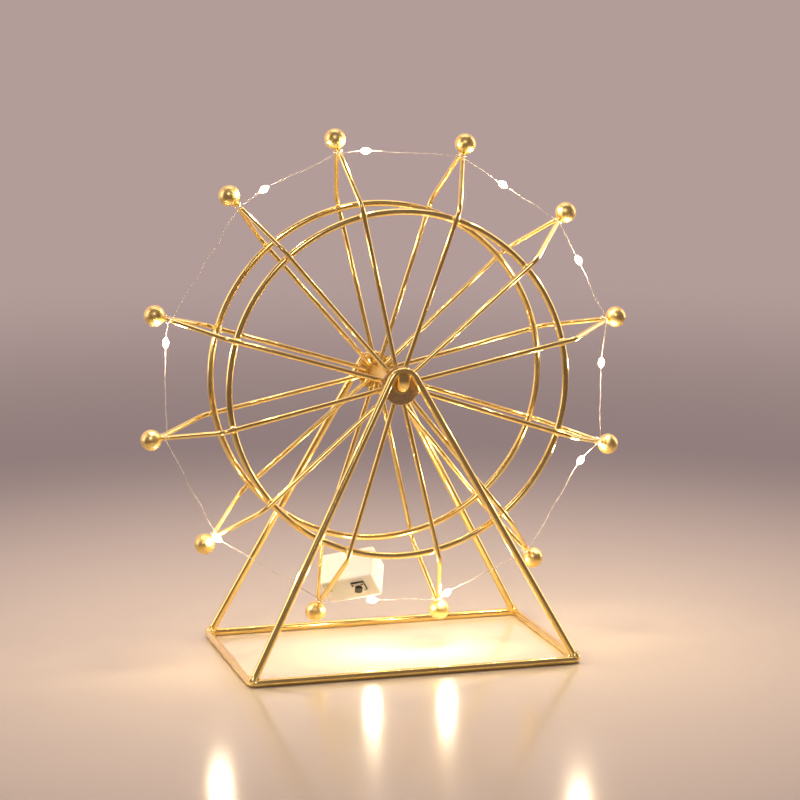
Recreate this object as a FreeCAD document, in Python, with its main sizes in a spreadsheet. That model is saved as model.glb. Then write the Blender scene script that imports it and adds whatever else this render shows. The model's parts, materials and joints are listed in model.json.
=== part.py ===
import FreeCAD, Part
import math
import os
import Sketcher

# Desk ornament: a Ferris wheel of welded gilt wire, hung on a 6 mm axle between two leaning
# A-frames, with a fairy-light string wound from neck to neck and its small battery case wedged
# in the fork of spoke 8.  Millimetres.  Origin: middle of the base, on the table.
# +Z is up, +X is to the right and the front of the wheel faces -Y.

Vector = FreeCAD.Vector
FRONT = -1
REAR = 1
SPOKES = range(1, 13)

SIZES = [
    # stand
    ("rod_diameter", 3.5, "wire of the base loop and the A-frames"),
    ("base_half_width", 75.8, "base loop, middle to rod centre, along X"),
    ("base_half_depth", 47.8, "base loop, middle to rod centre, along Y"),
    ("base_corner_radius", 3.0, "bend of the base loop at rod centre"),
    ("arch_offset", 26.9, "top of an A-frame from the wheel's middle plane"),
    ("arch_rise", 7.3, "arch rod centre above the axle"),
    ("arch_radius", 6.5, "bend at the top of an A-frame, rod centre"),
    ("foot_weld_diameter", 5.0, "weld lump where a leg stands on the base loop"),
    ("foot_weld_height", 2.9, "weld lump centre above the table"),
    # axle and hub
    ("axle_height", 127.0, "axle above the table"),
    ("axle_diameter", 6.0, "axle rod, bent up at both ends"),
    ("axle_bend_radius", 3.3, "bend of the axle at rod centre"),
    ("axle_weld_depth", 0.6, "how far the axle's ends are let into the arches"),
    ("bore_clearance", 0.08, "radial running clearance of the axle in the hub tube"),
    ("hub_tube_diameter", 7.6, "outside of the hub tube"),
    ("hub_tube_proud", 0.4, "hub tube past the outer face of a disc"),
    ("hub_disc_diameter", 17.4, "hub discs"),
    ("hub_disc_thickness", 1.5, "hub discs"),
    ("hub_disc_offset", 21.5, "inner face of a disc from the middle plane"),
    ("hub_disc_edge", 0.35, "rounding of a disc's outer edge"),
    # rims, spokes and balls
    ("rim_radius", 78.1, "rim rings at wire centre"),
    ("rim_wire", 3.0, "wire of the rim rings"),
    ("rim_offset", 20.7, "rim ring's plane from the middle plane"),
    ("spoke_wire", 2.2, "wire of the spokes"),
    ("spoke_start", 5.3, "inner end of a spoke from the axle"),
    ("spoke_bend_radius", 6.0, "bend of a spoke outside the rim, at wire centre"),
    ("elbow_past_rim", 5.1, "corner of a spoke's two runs outside the rim's wire centre"),
    ("spoke_run_in", 0.8, "spoke wire that the ball's surface trims off"),
    ("spoke_weld_diameter", 3.7, "weld lump where a spoke crosses its rim"),
    ("ball_diameter", 9.5, "balls on the spoke ends"),
    ("ball_circle", 112.0, "ball centres from the axle"),
    # spokes stand by hand, clockwise from the top as the front shows them
    ("spoke_angle_1", -12.3, "spoke 1"),
    ("spoke_angle_2", 19.2, "spoke 2"),
    ("spoke_angle_3", 49.2, "spoke 3"),
    ("spoke_angle_4", 77.7, "spoke 4"),
    ("spoke_angle_5", 108.7, "spoke 5"),
    ("spoke_angle_6", 141.7, "spoke 6"),
    ("spoke_angle_7", 167.7, "spoke 7"),
    ("spoke_angle_8", 198.2, "spoke 8"),
    ("spoke_angle_9", 230.2, "spoke 9"),
    ("spoke_angle_10", 258.2, "spoke 10"),
    ("spoke_angle_11", 287.2, "spoke 11"),
    ("spoke_angle_12", 319.7, "spoke 12"),
    # light string
    ("cord_diameter", 0.5, "twin copper wire of the light string"),
    ("cord_gap", 0.1, "air between the string and what it is wound on"),
    ("wrap_drop", 0.45, "start of a winding below the ball's surface"),
    ("wrap_pitch", 0.7, "one turn of a winding along the spoke"),
    ("wrap_bend_radius", 1.1, "bend of the string round a neck"),
    ("run_slope", 30.0, "steepest slope of a run where it crosses a neck"),
    ("lead_side", 2.4, "lead from the case, beside the wires of fork 8"),
    ("run_bend_radius", 20.0, "gentle bend of the string at a light"),
    ("drop_diameter", 2.8, "resin drop over a light"),
    ("drop_length", 5.6, "resin drop over a light"),
    ("drop_tip", 1.1, "diameter of a drop's ends"),
    ("chip_length", 1.6, "LED chip, along the string"),
    ("chip_width", 0.8, "LED chip, across the string"),
    ("chip_thickness", 0.5, "LED chip, out from the string"),
    # battery case: width, depth from the switch face to the back, height
    ("case_width", 24.8, "outside"),
    ("case_depth", 16.5, "outside, front to back"),
    ("case_height", 15.2, "outside"),
    ("case_wall", 1.5, "side, top and bottom walls"),
    ("case_front_wall", 1.3, "wall on the switch side"),
    ("case_edge", 1.0, "rounding of the case's long edges"),
    ("case_side", -10.1, "front face centre beside the fork's plane"),
    ("case_along", 14.6, "front face centre along the spoke, from the ball"),
    ("case_turn", 177.0, "turn of the case about the spoke's outer run"),
    ("case_lean", -43.0, "turn of the case in its front face"),
    ("shelf_width", 2.0, "ledge that the circuit board sits on"),
    ("knot_room", 3.2, "room for the string's knot, inside the left wall"),
    ("partition", 1.2, "rib between the knot room and the cells"),
    ("lead_hole_diameter", 1.4, "outlet of the string in the front wall"),
    ("lead_hole_x", -9.2, "outlet from the face's centre"),
    ("lead_hole_z", 1.1, "outlet from the face's centre"),
    ("groove_depth", 0.7, "groove for the lid in the top and bottom walls"),
    ("lid_thickness", 1.4, "sliding lid at the back"),
    ("lid_tongue", 0.6, "thickness of the lid's tongues"),
    ("slide_clearance", 0.12, "air round the lid"),
    ("grip_width", 0.8, "each of the lid's thumb ribs"),
    ("grip_pitch", 1.7, "spacing of the lid's thumb ribs"),
    # what the case holds
    ("cell_diameter", 11.6, "LR44 button cell"),
    ("cell_thickness", 5.4, "LR44 button cell"),
    ("cell_edge", 0.4, "rounding of a cell's can"),
    ("contact_thickness", 0.4, "contact plates"),
    ("contact_width", 8.0, "contact plates"),
    ("board_thickness", 0.8, "circuit board"),
    ("board_gap", 0.1, "air at the ends of the circuit board"),
    ("switch_width", 6.0, "square body of the push switch"),
    ("switch_height", 3.4, "body of the push switch above the board"),
    ("switch_proud", 0.9, "switch body past the case's front face"),
    ("switch_cover", 0.25, "steel cover of the switch"),
    ("switch_x", 4.3, "switch from the face's centre"),
    ("switch_z", 1.2, "switch from the face's centre"),
    ("window_gap", 0.2, "air round the switch in its window"),
    ("rivet_spacing", 4.5, "four rivet heads of the switch"),
    ("rivet_diameter", 0.9, "rivet heads"),
    ("rivet_height", 0.2, "rivet heads"),
    ("button_diameter", 3.5, "round button"),
    ("button_height", 1.6, "button past the steel cover"),
    ("button_flange", 4.4, "collar that keeps the button in"),
    ("button_flange_thickness", 0.5, "collar that keeps the button in"),
    ("button_gap", 0.1, "air round the button"),
    ("button_travel", 0.25, "stroke of the button"),
]

doc = FreeCAD.newDocument("FerrisWheelOrnament")
sheet = doc.addObject("Spreadsheet::Sheet", "sizes")
for row, (alias, value, note) in enumerate(SIZES, start=1):
    sheet.set("A%d" % row, note)
    sheet.set("B%d" % row, str(value))
    sheet.setAlias("B%d" % row, alias)
doc.recompute()

nodes = []


def size(alias):
    return float(sheet.get(alias))


def value_of(expression):
    result = sheet.evalExpression(expression)
    return float(getattr(result, "Value", result))


def sub_part(shape_object, label):
    """Registers a finished object as a piece of the ornament."""
    shape_object.Label = label
    nodes.append(shape_object)
    return shape_object


def new_body(name):
    return doc.addObject("PartDesign::Body", name)


def plane_of(body, role):
    return [item for item in body.Origin.OriginFeatures if item.Role == role][0]


def new_sketch(body, name, role, offset=None):
    """A sketch on one of the body's own planes, lifted off it by an expression."""
    sketch = body.newObject("Sketcher::SketchObject", name)
    sketch.AttachmentSupport = [(plane_of(body, role), "")]
    sketch.MapMode = "FlatFace"
    if offset:
        sketch.setExpression("AttachmentOffset.Base.z", offset)
    return sketch


def dimension(sketch, kind, refs, name, expression):
    """Adds a named dimension that an expression drives."""
    start = value_of(expression)
    if kind == "Angle":
        start = math.radians(start)
    index = sketch.addConstraint(Sketcher.Constraint(kind, *refs, start))
    sketch.renameConstraint(index, name)
    sketch.setExpression("Constraints." + name, expression)


def tangent(sketch, first, first_end, second, second_end):
    sketch.addConstraint(Sketcher.Constraint("Tangent", first, first_end, second, second_end))


def line(sketch, start, end):
    return sketch.addGeometry(Part.LineSegment(Vector(*start, 0), Vector(*end, 0)))


def arc(sketch, center, radius, start_degrees, end_degrees):
    circle = Part.Circle(Vector(*center, 0), Vector(0, 0, 1), radius)
    start = math.radians(start_degrees)
    end = math.radians(end_degrees)
    return sketch.addGeometry(Part.ArcOfCircle(circle, start, end))


def circle(sketch, name, diameter, x=None, y=None):
    """A circle of a driven diameter, at the sketch's origin or at driven coordinates."""
    at = Vector(value_of(x) if x else 0, value_of(y) if y else 0, 0)
    index = sketch.addGeometry(Part.Circle(at, Vector(0, 0, 1), value_of(diameter) / 2))
    dimension(sketch, "Diameter", (index,), name + "_diameter", diameter)
    if x:
        dimension(sketch, "DistanceX", (-1, 1, index, 3), name + "_x", x)
        dimension(sketch, "DistanceY", (-1, 1, index, 3), name + "_y", y)
    else:
        sketch.addConstraint(Sketcher.Constraint("Coincident", index, 3, -1, 1))
    return index


def rectangle(sketch, name, left, right, bottom, top):
    """A rectangle whose four sides are driven by expressions."""
    low = (value_of(left), value_of(bottom))
    high = (value_of(right), value_of(top))
    lower = line(sketch, low, (high[0], low[1]))
    right_side = line(sketch, (high[0], low[1]), high)
    upper = line(sketch, high, (low[0], high[1]))
    left_side = line(sketch, (low[0], high[1]), low)
    sides = [lower, right_side, upper, left_side]
    for first, second in zip(sides, sides[1:] + sides[:1]):
        sketch.addConstraint(Sketcher.Constraint("Coincident", first, 2, second, 1))
    for side, direction in zip(sides, ("Horizontal", "Vertical", "Horizontal", "Vertical")):
        sketch.addConstraint(Sketcher.Constraint(direction, side))
    dimension(sketch, "DistanceX", (-1, 1, lower, 1), name + "_left", left)
    dimension(sketch, "DistanceY", (-1, 1, lower, 1), name + "_bottom", bottom)
    dimension(sketch, "DistanceX", (-1, 1, upper, 1), name + "_right", right)
    dimension(sketch, "DistanceY", (-1, 1, upper, 1), name + "_top", top)


def sweep_rod(body, path, diameter):
    """Round wire of a driven diameter along a sketched path."""
    section = body.newObject("Sketcher::SketchObject", path.Name + "_section")
    section.AttachmentSupport = [(path, "Edge1")]
    section.MapMode = "NormalToEdge"
    circle(section, "wire", diameter)
    doc.recompute()
    rod = body.newObject("PartDesign::AdditivePipe", path.Name + "_rod")
    rod.Profile = section
    rod.Spine = (path, [""])
    return rod


def pad(body, sketch, length, both_ways=False, away=False):
    feature = body.newObject("PartDesign::Pad", sketch.Name + "_pad")
    feature.Profile = sketch
    feature.setExpression("Length", length)
    feature.SideType = "Symmetric" if both_ways else "One side"
    feature.Reversed = away
    return feature


def pocket(body, sketch, length, away=False):
    """Cuts a pocket and makes sure that it took material away."""
    doc.recompute()
    before = body.Shape.Volume
    feature = body.newObject("PartDesign::Pocket", sketch.Name + "_pocket")
    feature.Profile = sketch
    feature.setExpression("Length", length)
    feature.Reversed = away
    doc.recompute()
    if body.Shape.Volume >= before - 1e-6:
        raise RuntimeError(sketch.Name + " cuts nothing")
    return feature


def round_edges(body, name, wanted, radius):
    """Rounds the edges for which wanted(edge, its middle in the body's frame) holds."""
    doc.recompute()
    shape = body.Tip.Shape
    chosen = []
    for number, edge in enumerate(shape.Edges, start=1):
        if wanted(edge, edge.CenterOfMass):
            chosen.append("Edge%d" % number)
    last = body.Tip
    feature = body.newObject("PartDesign::Fillet", name)
    feature.Base = (last, chosen)
    feature.setExpression("Radius", radius)
    return feature


def cut(name, base, tool):
    result = doc.addObject("Part::Cut", name)
    result.Base = base
    result.Tool = tool
    return result


def group(name, members):
    result = doc.addObject("Part::Compound", name)
    result.Links = members
    return result


def vector(x, y, z):
    return "create(<<vector>>; %s; %s; %s)" % (x, y, z)


def placement(position, rotation):
    return "create(<<placement>>; %s; %s)" % (position, rotation)


def about(axis, angle):
    return "create(<<rotation>>; %s; %s)" % (axis, angle)


# ---------------------------------------------------------------- stand

def make_base_loop():
    """Rounded rectangle of rod that lies on the table."""
    body = new_body("base_loop_body")
    body.setExpression("Placement.Base.z", "sizes.rod_diameter / 2")
    path = new_sketch(body, "base_loop_path", "XY_Plane")
    half_x = size("base_half_width")
    half_y = size("base_half_depth")
    bend = size("base_corner_radius")
    side_x = half_x - bend
    side_y = half_y - bend
    front = line(path, (-side_x, -half_y), (side_x, -half_y))
    corners = [arc(path, (side_x, -side_y), bend, -90, 0)]
    right = line(path, (half_x, -side_y), (half_x, side_y))
    corners.append(arc(path, (side_x, side_y), bend, 0, 90))
    rear = line(path, (side_x, half_y), (-side_x, half_y))
    corners.append(arc(path, (-side_x, side_y), bend, 90, 180))
    left = line(path, (-half_x, side_y), (-half_x, -side_y))
    corners.append(arc(path, (-side_x, -side_y), bend, 180, 270))
    runs = [front, right, rear, left]
    for index, corner in enumerate(corners):
        tangent(path, runs[index], 2, corner, 1)
        tangent(path, corner, 2, runs[(index + 1) % 4], 1)
    for run, direction in zip(runs, ("Horizontal", "Vertical", "Horizontal", "Vertical")):
        path.addConstraint(Sketcher.Constraint(direction, run))
    dimension(path, "Radius", (corners[0],), "bend", "sizes.base_corner_radius")
    for corner in corners[1:]:
        path.addConstraint(Sketcher.Constraint("Equal", corners[0], corner))
    dimension(path, "DistanceX", (-1, 1, right, 1), "right", "sizes.base_half_width")
    dimension(path, "DistanceX", (left, 1, -1, 1), "left", "sizes.base_half_width")
    dimension(path, "DistanceY", (-1, 1, rear, 1), "rear", "sizes.base_half_depth")
    dimension(path, "DistanceY", (front, 1, -1, 1), "front", "sizes.base_half_depth")
    sweep_rod(body, path, "sizes.rod_diameter")
    return sub_part(body, "base_loop")


CORNER_INSET = "sizes.base_corner_radius * (1 - cos(45))"
FOOT_X = "(sizes.base_half_width - %s)" % CORNER_INSET
FOOT_Y = "(sizes.base_half_depth - %s)" % CORNER_INSET
ARCH_RISE = "(sizes.axle_height + sizes.arch_rise - sizes.rod_diameter / 2)"
LEAN = "atan((%s - sizes.arch_offset) / %s)" % (FOOT_Y, ARCH_RISE)


def make_a_frame(side, label, base_loop):
    """One rod, bent over at the top, leaning inwards on two corners of the base loop."""
    body = new_body(label + "_body")
    foot_point = vector("0", "%d * %s" % (side, FOOT_Y), "sizes.rod_diameter / 2")
    body.setExpression("Placement",
                       placement(foot_point, about(vector("%d" % side, "0", "0"), LEAN)))
    path = new_sketch(body, label + "_path", "XZ_Plane")
    foot = value_of(FOOT_X)
    bend = size("arch_radius")
    height = value_of("%s / cos(%s)" % (ARCH_RISE, LEAN))
    centre = height - bend
    slope = math.atan2(foot, centre) - math.asin(bend / math.hypot(foot, centre))
    touch_x = bend * math.cos(slope)
    touch_y = centre + bend * math.sin(slope)
    right = line(path, (foot, 0), (touch_x, touch_y))
    over = arc(path, (0, centre), bend, math.degrees(slope), 180 - math.degrees(slope))
    left = line(path, (-touch_x, touch_y), (-foot, 0))
    tangent(path, right, 2, over, 1)
    tangent(path, over, 2, left, 1)
    path.addConstraint(Sketcher.Constraint("PointOnObject", over, 3, -2))
    dimension(path, "DistanceX", (-1, 1, right, 1), "foot_right", FOOT_X)
    dimension(path, "DistanceX", (left, 2, -1, 1), "foot_left", FOOT_X)
    path.addConstraint(Sketcher.Constraint("PointOnObject", right, 1, -1))
    path.addConstraint(Sketcher.Constraint("PointOnObject", left, 2, -1))
    dimension(path, "Radius", (over,), "bend", "sizes.arch_radius")
    dimension(path, "DistanceY", (-1, 1, over, 3), "bend_height",
              "%s / cos(%s) - sizes.arch_radius" % (ARCH_RISE, LEAN))
    sweep_rod(body, path, "sizes.rod_diameter")
    return sub_part(cut(label + "_coped", body, base_loop), label)


def make_foot_welds(stand):
    """The four lumps of weld that tie the legs to the base loop."""
    lumps = []
    for number, (side_x, side_y) in enumerate([(-1, -1), (1, -1), (1, 1), (-1, 1)], start=1):
        lump = doc.addObject("Part::Sphere", "foot_weld_%d" % number)
        # poles to the front and the rear, clear of the rods
        lump.Placement.Rotation = FreeCAD.Rotation(Vector(1, 0, 0), 90)
        lump.setExpression("Radius", "sizes.foot_weld_diameter / 2")
        lump.setExpression("Placement.Base.x", "%d * %s" % (side_x, FOOT_X))
        lump.setExpression("Placement.Base.y", "%d * %s" % (side_y, FOOT_Y))
        lump.setExpression("Placement.Base.z", "sizes.foot_weld_height")
        lumps.append(lump)
    welds = cut("foot_welds_cut", group("foot_weld_lumps", lumps), stand)
    return sub_part(welds, "foot_welds")


def make_axle(arches):
    """Six millimetre rod through the hub, bent up at both ends and let into the arches."""
    body = new_body("axle_body")
    body.setExpression("Placement.Base.z", "sizes.axle_height")
    path = new_sketch(body, "axle_path", "YZ_Plane")
    reach = size("arch_offset")
    bend = size("axle_bend_radius")
    end = "sizes.arch_rise - sizes.rod_diameter / 2 + sizes.axle_weld_depth"
    top = value_of(end)
    front = line(path, (-reach, top), (-reach, bend))
    front_bend = arc(path, (bend - reach, bend), bend, 180, 270)
    through = line(path, (bend - reach, 0), (reach - bend, 0))
    rear_bend = arc(path, (reach - bend, bend), bend, 270, 360)
    rear = line(path, (reach, bend), (reach, top))
    tangent(path, front, 2, front_bend, 1)
    tangent(path, front_bend, 2, through, 1)
    tangent(path, through, 2, rear_bend, 1)
    tangent(path, rear_bend, 2, rear, 1)
    path.addConstraint(Sketcher.Constraint("Vertical", front))
    path.addConstraint(Sketcher.Constraint("Vertical", rear))
    path.addConstraint(Sketcher.Constraint("PointOnObject", through, 1, -1))
    dimension(path, "Radius", (front_bend,), "bend", "sizes.axle_bend_radius")
    path.addConstraint(Sketcher.Constraint("Equal", front_bend, rear_bend))
    dimension(path, "DistanceX", (front, 1, -1, 1), "front_reach", "sizes.arch_offset")
    dimension(path, "DistanceX", (-1, 1, rear, 2), "rear_reach", "sizes.arch_offset")
    dimension(path, "DistanceY", (-1, 1, front, 1), "front_top", end)
    dimension(path, "DistanceY", (-1, 1, rear, 2), "rear_top", end)
    sweep_rod(body, path, "sizes.axle_diameter")
    return sub_part(cut("axle_coped", body, arches), "axle")


# ---------------------------------------------------------------- hub and rims

HUB = vector("0", "0", "sizes.axle_height")
DISC_OUTER = "(sizes.hub_disc_offset + sizes.hub_disc_thickness)"


def make_hub_tube():
    """Tube that turns on the axle, right through both discs."""
    body = new_body("hub_tube_body")
    body.setExpression("Placement.Base.z", "sizes.axle_height")
    section = new_sketch(body, "hub_tube_section", "XZ_Plane")
    circle(section, "outside", "sizes.hub_tube_diameter")
    circle(section, "bore", "sizes.axle_diameter + 2 * sizes.bore_clearance")
    pad(body, section, "2 * (%s + sizes.hub_tube_proud)" % DISC_OUTER, both_ways=True)
    return sub_part(body, "hub_tube")


def make_hub_disc(side, label):
    """Disc welded on the tube; the spokes' inner ends lie on its inner face."""
    body = new_body(label + "_body")
    body.setExpression("Placement.Base.z", "sizes.axle_height")
    offset = "%d * sizes.hub_disc_offset" % -side
    section = new_sketch(body, label + "_section", "XZ_Plane", offset)
    circle(section, "outside", "sizes.hub_disc_diameter")
    circle(section, "seat", "sizes.hub_tube_diameter")
    pad(body, section, "sizes.hub_disc_thickness", away=side == REAR)
    outer_face = side * value_of(DISC_OUTER)
    seat_length = math.pi * size("hub_tube_diameter")

    def outer_edge(edge, middle):
        return abs(middle.y - outer_face) < 1e-6 and edge.Length > seat_length * 1.1

    round_edges(body, label + "_edge", outer_edge, "sizes.hub_disc_edge")
    return sub_part(body, label)


def make_rim(side, label):
    """Ring of wire, one on each side of the wheel."""
    ring = doc.addObject("Part::Torus", label + "_ring")
    ring.setExpression("Radius1", "sizes.rim_radius")
    ring.setExpression("Radius2", "sizes.rim_wire / 2")
    ring.Placement.Rotation = FreeCAD.Rotation(Vector(1, 0, 0), 90)
    ring.setExpression("Placement.Base.y", "%d * sizes.rim_offset" % side)
    ring.setExpression("Placement.Base.z", "sizes.axle_height")
    return sub_part(ring, label)


# ---------------------------------------------------------------- spokes and balls

HALF_WIRE = "sizes.spoke_wire / 2"
HUB_SEAT = "(sizes.hub_disc_offset - %s)" % HALF_WIRE
RIM_SEAT = "(sizes.rim_offset + sizes.rim_wire / 2 + %s)" % HALF_WIRE
FLARE = "((%s - %s) / (sizes.rim_radius - sizes.hub_disc_diameter / 2))" % (RIM_SEAT, HUB_SEAT)
START_Y = "(%s - (sizes.hub_disc_diameter / 2 - sizes.spoke_start) * %s)" % (HUB_SEAT, FLARE)
BALL_INSIDE = "(sizes.ball_circle - sizes.ball_diameter / 2)"
ELBOW_Z = "(sizes.rim_radius + sizes.elbow_past_rim)"
ELBOW_Y = "(%s + (%s - sizes.spoke_start) * %s)" % (START_Y, ELBOW_Z, FLARE)
# the two outer runs of a fork touch each other where they reach the ball
TO_BALL = "(%s - %s)" % (BALL_INSIDE, ELBOW_Z)
NECK_ANGLE = ("(atan(%s / %s) - asin(%s / sqrt(%s * %s + %s * %s)))"
              % (ELBOW_Y, TO_BALL, HALF_WIRE, ELBOW_Y, ELBOW_Y, TO_BALL, TO_BALL))
NECK_Y = "(%s * cos(%s))" % (HALF_WIRE, NECK_ANGLE)
NECK_Z = "(%s + %s * sin(%s))" % (BALL_INSIDE, HALF_WIRE, NECK_ANGLE)
END_Y = "(%s - sizes.spoke_run_in * sin(%s))" % (NECK_Y, NECK_ANGLE)
END_Z = "(%s + sizes.spoke_run_in * cos(%s))" % (NECK_Z, NECK_ANGLE)


def spoke_frame(number):
    """Hub centre, turned so that local +Z runs out along the spoke."""
    return placement(HUB, about(vector("0", "1", "0"), "sizes.spoke_angle_%d" % number))


def make_spoke(number, side, label):
    """Wire from a hub disc, over the outside of its rim, then bent in to the ball."""
    body = new_body(label + "_body")
    body.setExpression("Placement", spoke_frame(number))
    path = new_sketch(body, label + "_path", "YZ_Plane")
    start = (side * value_of(START_Y), size("spoke_start"))
    end = (side * value_of(END_Y), value_of(END_Z))
    flare = math.atan(value_of(FLARE))
    slope = math.radians(value_of(NECK_ANGLE))
    # the two runs meet at the corner that the bend rounds
    corner = (side * value_of(ELBOW_Y), value_of(ELBOW_Z))
    bend = size("spoke_bend_radius")
    trim = bend * math.tan((flare + slope) / 2)
    first_end = (corner[0] - side * trim * math.sin(flare), corner[1] - trim * math.cos(flare))
    second_start = (corner[0] - side * trim * math.sin(slope), corner[1] + trim * math.cos(slope))
    centre = (first_end[0] - side * bend * math.cos(flare), first_end[1] + bend * math.sin(flare))
    inner = line(path, start, first_end)
    low = -math.degrees(flare)
    high = math.degrees(slope)
    if side == REAR:
        elbow = arc(path, centre, bend, low, high)
    else:
        elbow = arc(path, centre, bend, 180 - high, 180 - low)
    outer = line(path, second_start, end)
    tangent(path, inner, 2, elbow, 1 if side == REAR else 2)
    tangent(path, elbow, 2 if side == REAR else 1, outer, 1)
    dimension(path, "DistanceX", (-1, 1, inner, 1), "start_y", "%d * %s" % (side, START_Y))
    dimension(path, "DistanceY", (-1, 1, inner, 1), "start_z", "sizes.spoke_start")
    dimension(path, "DistanceX", (-1, 1, outer, 2), "end_y", "%d * %s" % (side, END_Y))
    dimension(path, "DistanceY", (-1, 1, outer, 2), "end_z", END_Z)
    dimension(path, "Radius", (elbow,), "bend", "sizes.spoke_bend_radius")
    dimension(path, "Angle", (inner,), "flare", "90 deg - %d * atan(%s)" % (side, FLARE))
    dimension(path, "Angle", (outer,), "slope", "90 deg + %d * %s" % (side, NECK_ANGLE))
    sweep_rod(body, path, "sizes.spoke_wire")

    weld = body.newObject("PartDesign::AdditiveSphere", label + "_weld")
    weld.AttachmentSupport = [(plane_of(body, "XZ_Plane"), "")]
    weld.MapMode = "FlatFace"
    weld.setExpression("Radius", "sizes.spoke_weld_diameter / 2")
    contact = "(sizes.rim_offset + sizes.rim_wire / 2)"
    weld.setExpression("AttachmentOffset.Base.y", "sizes.rim_radius")
    weld.setExpression("AttachmentOffset.Base.z", "%d * %s" % (-side, contact))

    rim = body.newObject("PartDesign::SubtractiveTorus", label + "_rim_seat")
    rim.AttachmentSupport = [(plane_of(body, "XZ_Plane"), "")]
    rim.MapMode = "FlatFace"
    rim.setExpression("Radius1", "sizes.rim_radius")
    rim.setExpression("Radius2", "sizes.rim_wire / 2")
    rim.setExpression("AttachmentOffset.Base.z", "%d * sizes.rim_offset" % -side)

    ball = body.newObject("PartDesign::SubtractiveSphere", label + "_ball_seat")
    ball.AttachmentSupport = [(plane_of(body, "XZ_Plane"), "")]
    ball.MapMode = "FlatFace"
    ball.setExpression("Radius", "sizes.ball_diameter / 2")
    ball.setExpression("AttachmentOffset.Base.y", "sizes.ball_circle")
    return sub_part(body, label)


def make_ball(number):
    """Ball that closes the fork of a front and a rear spoke."""
    ball = doc.addObject("Part::Sphere", "ball_%d_sphere" % number)
    ball.setExpression("Radius", "sizes.ball_diameter / 2")
    angle = "sizes.spoke_angle_%d" % number
    ball.setExpression("Placement.Base.x", "sizes.ball_circle * sin(%s)" % angle)
    ball.setExpression("Placement.Base.z",
                       "sizes.axle_height + sizes.ball_circle * cos(%s)" % angle)
    return sub_part(ball, "ball_%d" % number)


# ---------------------------------------------------------------- battery case

# Case frame: origin in the middle of the switch face, +X to the right, +Y to the back,
# +Z up.  The switch face lies flat against the outer run of the front spoke 8.
FORK_FRAME = placement(vector("0", "-%s" % NECK_Y, NECK_Z),
                       about(vector("1", "0", "0"), "180 deg - %s" % NECK_ANGLE))
CASE_IN_FORK = placement(vector("sizes.case_side", "-%s" % HALF_WIRE, "sizes.case_along"),
                         "create(<<rotation>>; sizes.case_turn; sizes.case_lean; 0)")
CASE_FRAME = "%s * %s * %s" % (spoke_frame(8), FORK_FRAME, CASE_IN_FORK)

INNER_X = "(sizes.case_width / 2 - sizes.case_wall)"
INNER_Z = "(sizes.case_height / 2 - sizes.case_wall)"
BOARD_FRONT = "(sizes.switch_height - sizes.switch_proud)"
BOARD_BACK = "(%s + sizes.board_thickness)" % BOARD_FRONT
LID_FRONT = "(sizes.case_depth - sizes.lid_thickness)"
CELLS_LEFT = "(sizes.knot_room + sizes.partition - %s)" % INNER_X
CELL_AXIS_Y = "(%s - sizes.slide_clearance - sizes.cell_diameter / 2)" % LID_FRONT
CELL_AXIS_Z = "(sizes.cell_diameter / 2 - %s)" % INNER_Z
TONGUE_Y = "(%s + (sizes.lid_thickness - sizes.lid_tongue) / 2)" % LID_FRONT


def case_body(name):
    body = new_body(name)
    body.setExpression("Placement", CASE_FRAME)
    return body


def make_battery_case():
    """Moulded case, open at the back, with a grooved track for its lid."""
    body = case_body("battery_case_body")
    half_x = "sizes.case_width / 2"
    half_z = "sizes.case_height / 2"
    outline = new_sketch(body, "case_outline", "XZ_Plane")
    rectangle(outline, "case", "-" + half_x, half_x, "-" + half_z, half_z)
    pad(body, outline, "sizes.case_depth", away=True)

    def front_or_long(edge, middle):
        return abs(middle.y) < 1e-6 or abs(edge.Length - size("case_depth")) < 1e-6

    round_edges(body, "case_rounding", front_or_long, "sizes.case_edge")

    front_room = new_sketch(body, "case_front_room", "XZ_Plane", "-sizes.case_front_wall")
    rectangle(front_room, "room", "sizes.shelf_width - " + INNER_X,
              INNER_X + " - sizes.shelf_width", "-" + INNER_Z, INNER_Z)
    pocket(body, front_room, "sizes.case_depth", away=False)

    main_room = new_sketch(body, "case_main_room", "XZ_Plane", "-" + BOARD_FRONT)
    rectangle(main_room, "room", "-" + INNER_X, INNER_X, "-" + INNER_Z, INNER_Z)
    pocket(body, main_room, "sizes.case_depth", away=False)

    track = new_sketch(body, "case_lid_mouth", "XZ_Plane",
                       "sizes.slide_clearance - " + LID_FRONT)
    rectangle(track, "mouth", "-" + INNER_X, half_x, "-" + INNER_Z, INNER_Z)
    pocket(body, track, "sizes.case_depth", away=False)

    grooves = new_sketch(body, "case_grooves", "XZ_Plane",
                         "sizes.slide_clearance - " + TONGUE_Y)
    rectangle(grooves, "groove", "-" + INNER_X, half_x,
              "-(%s + sizes.groove_depth)" % INNER_Z, INNER_Z + " + sizes.groove_depth")
    pocket(body, grooves, "sizes.lid_tongue + 2 * sizes.slide_clearance", away=False)

    rib = new_sketch(body, "case_partition", "XZ_Plane", "-" + BOARD_BACK)
    rectangle(rib, "rib", CELLS_LEFT + " - sizes.partition", CELLS_LEFT,
              "-" + INNER_Z, INNER_Z)
    pad(body, rib, "%s - sizes.slide_clearance - %s" % (LID_FRONT, BOARD_BACK), away=True)

    window = new_sketch(body, "case_window", "XZ_Plane")
    reach = "sizes.switch_width / 2 + sizes.window_gap"
    rectangle(window, "window", "sizes.switch_x - (%s)" % reach, "sizes.switch_x + " + reach,
              "sizes.switch_z - (%s)" % reach, "sizes.switch_z + " + reach)
    pocket(body, window, "sizes.case_front_wall + 0.1", away=False)

    outlet = new_sketch(body, "case_lead_hole", "XZ_Plane")
    circle(outlet, "hole", "sizes.lead_hole_diameter", "sizes.lead_hole_x",
           "sizes.lead_hole_z")
    pocket(body, outlet, "%s + 0.1" % BOARD_FRONT, away=False)
    return sub_part(body, "battery_case")


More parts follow.
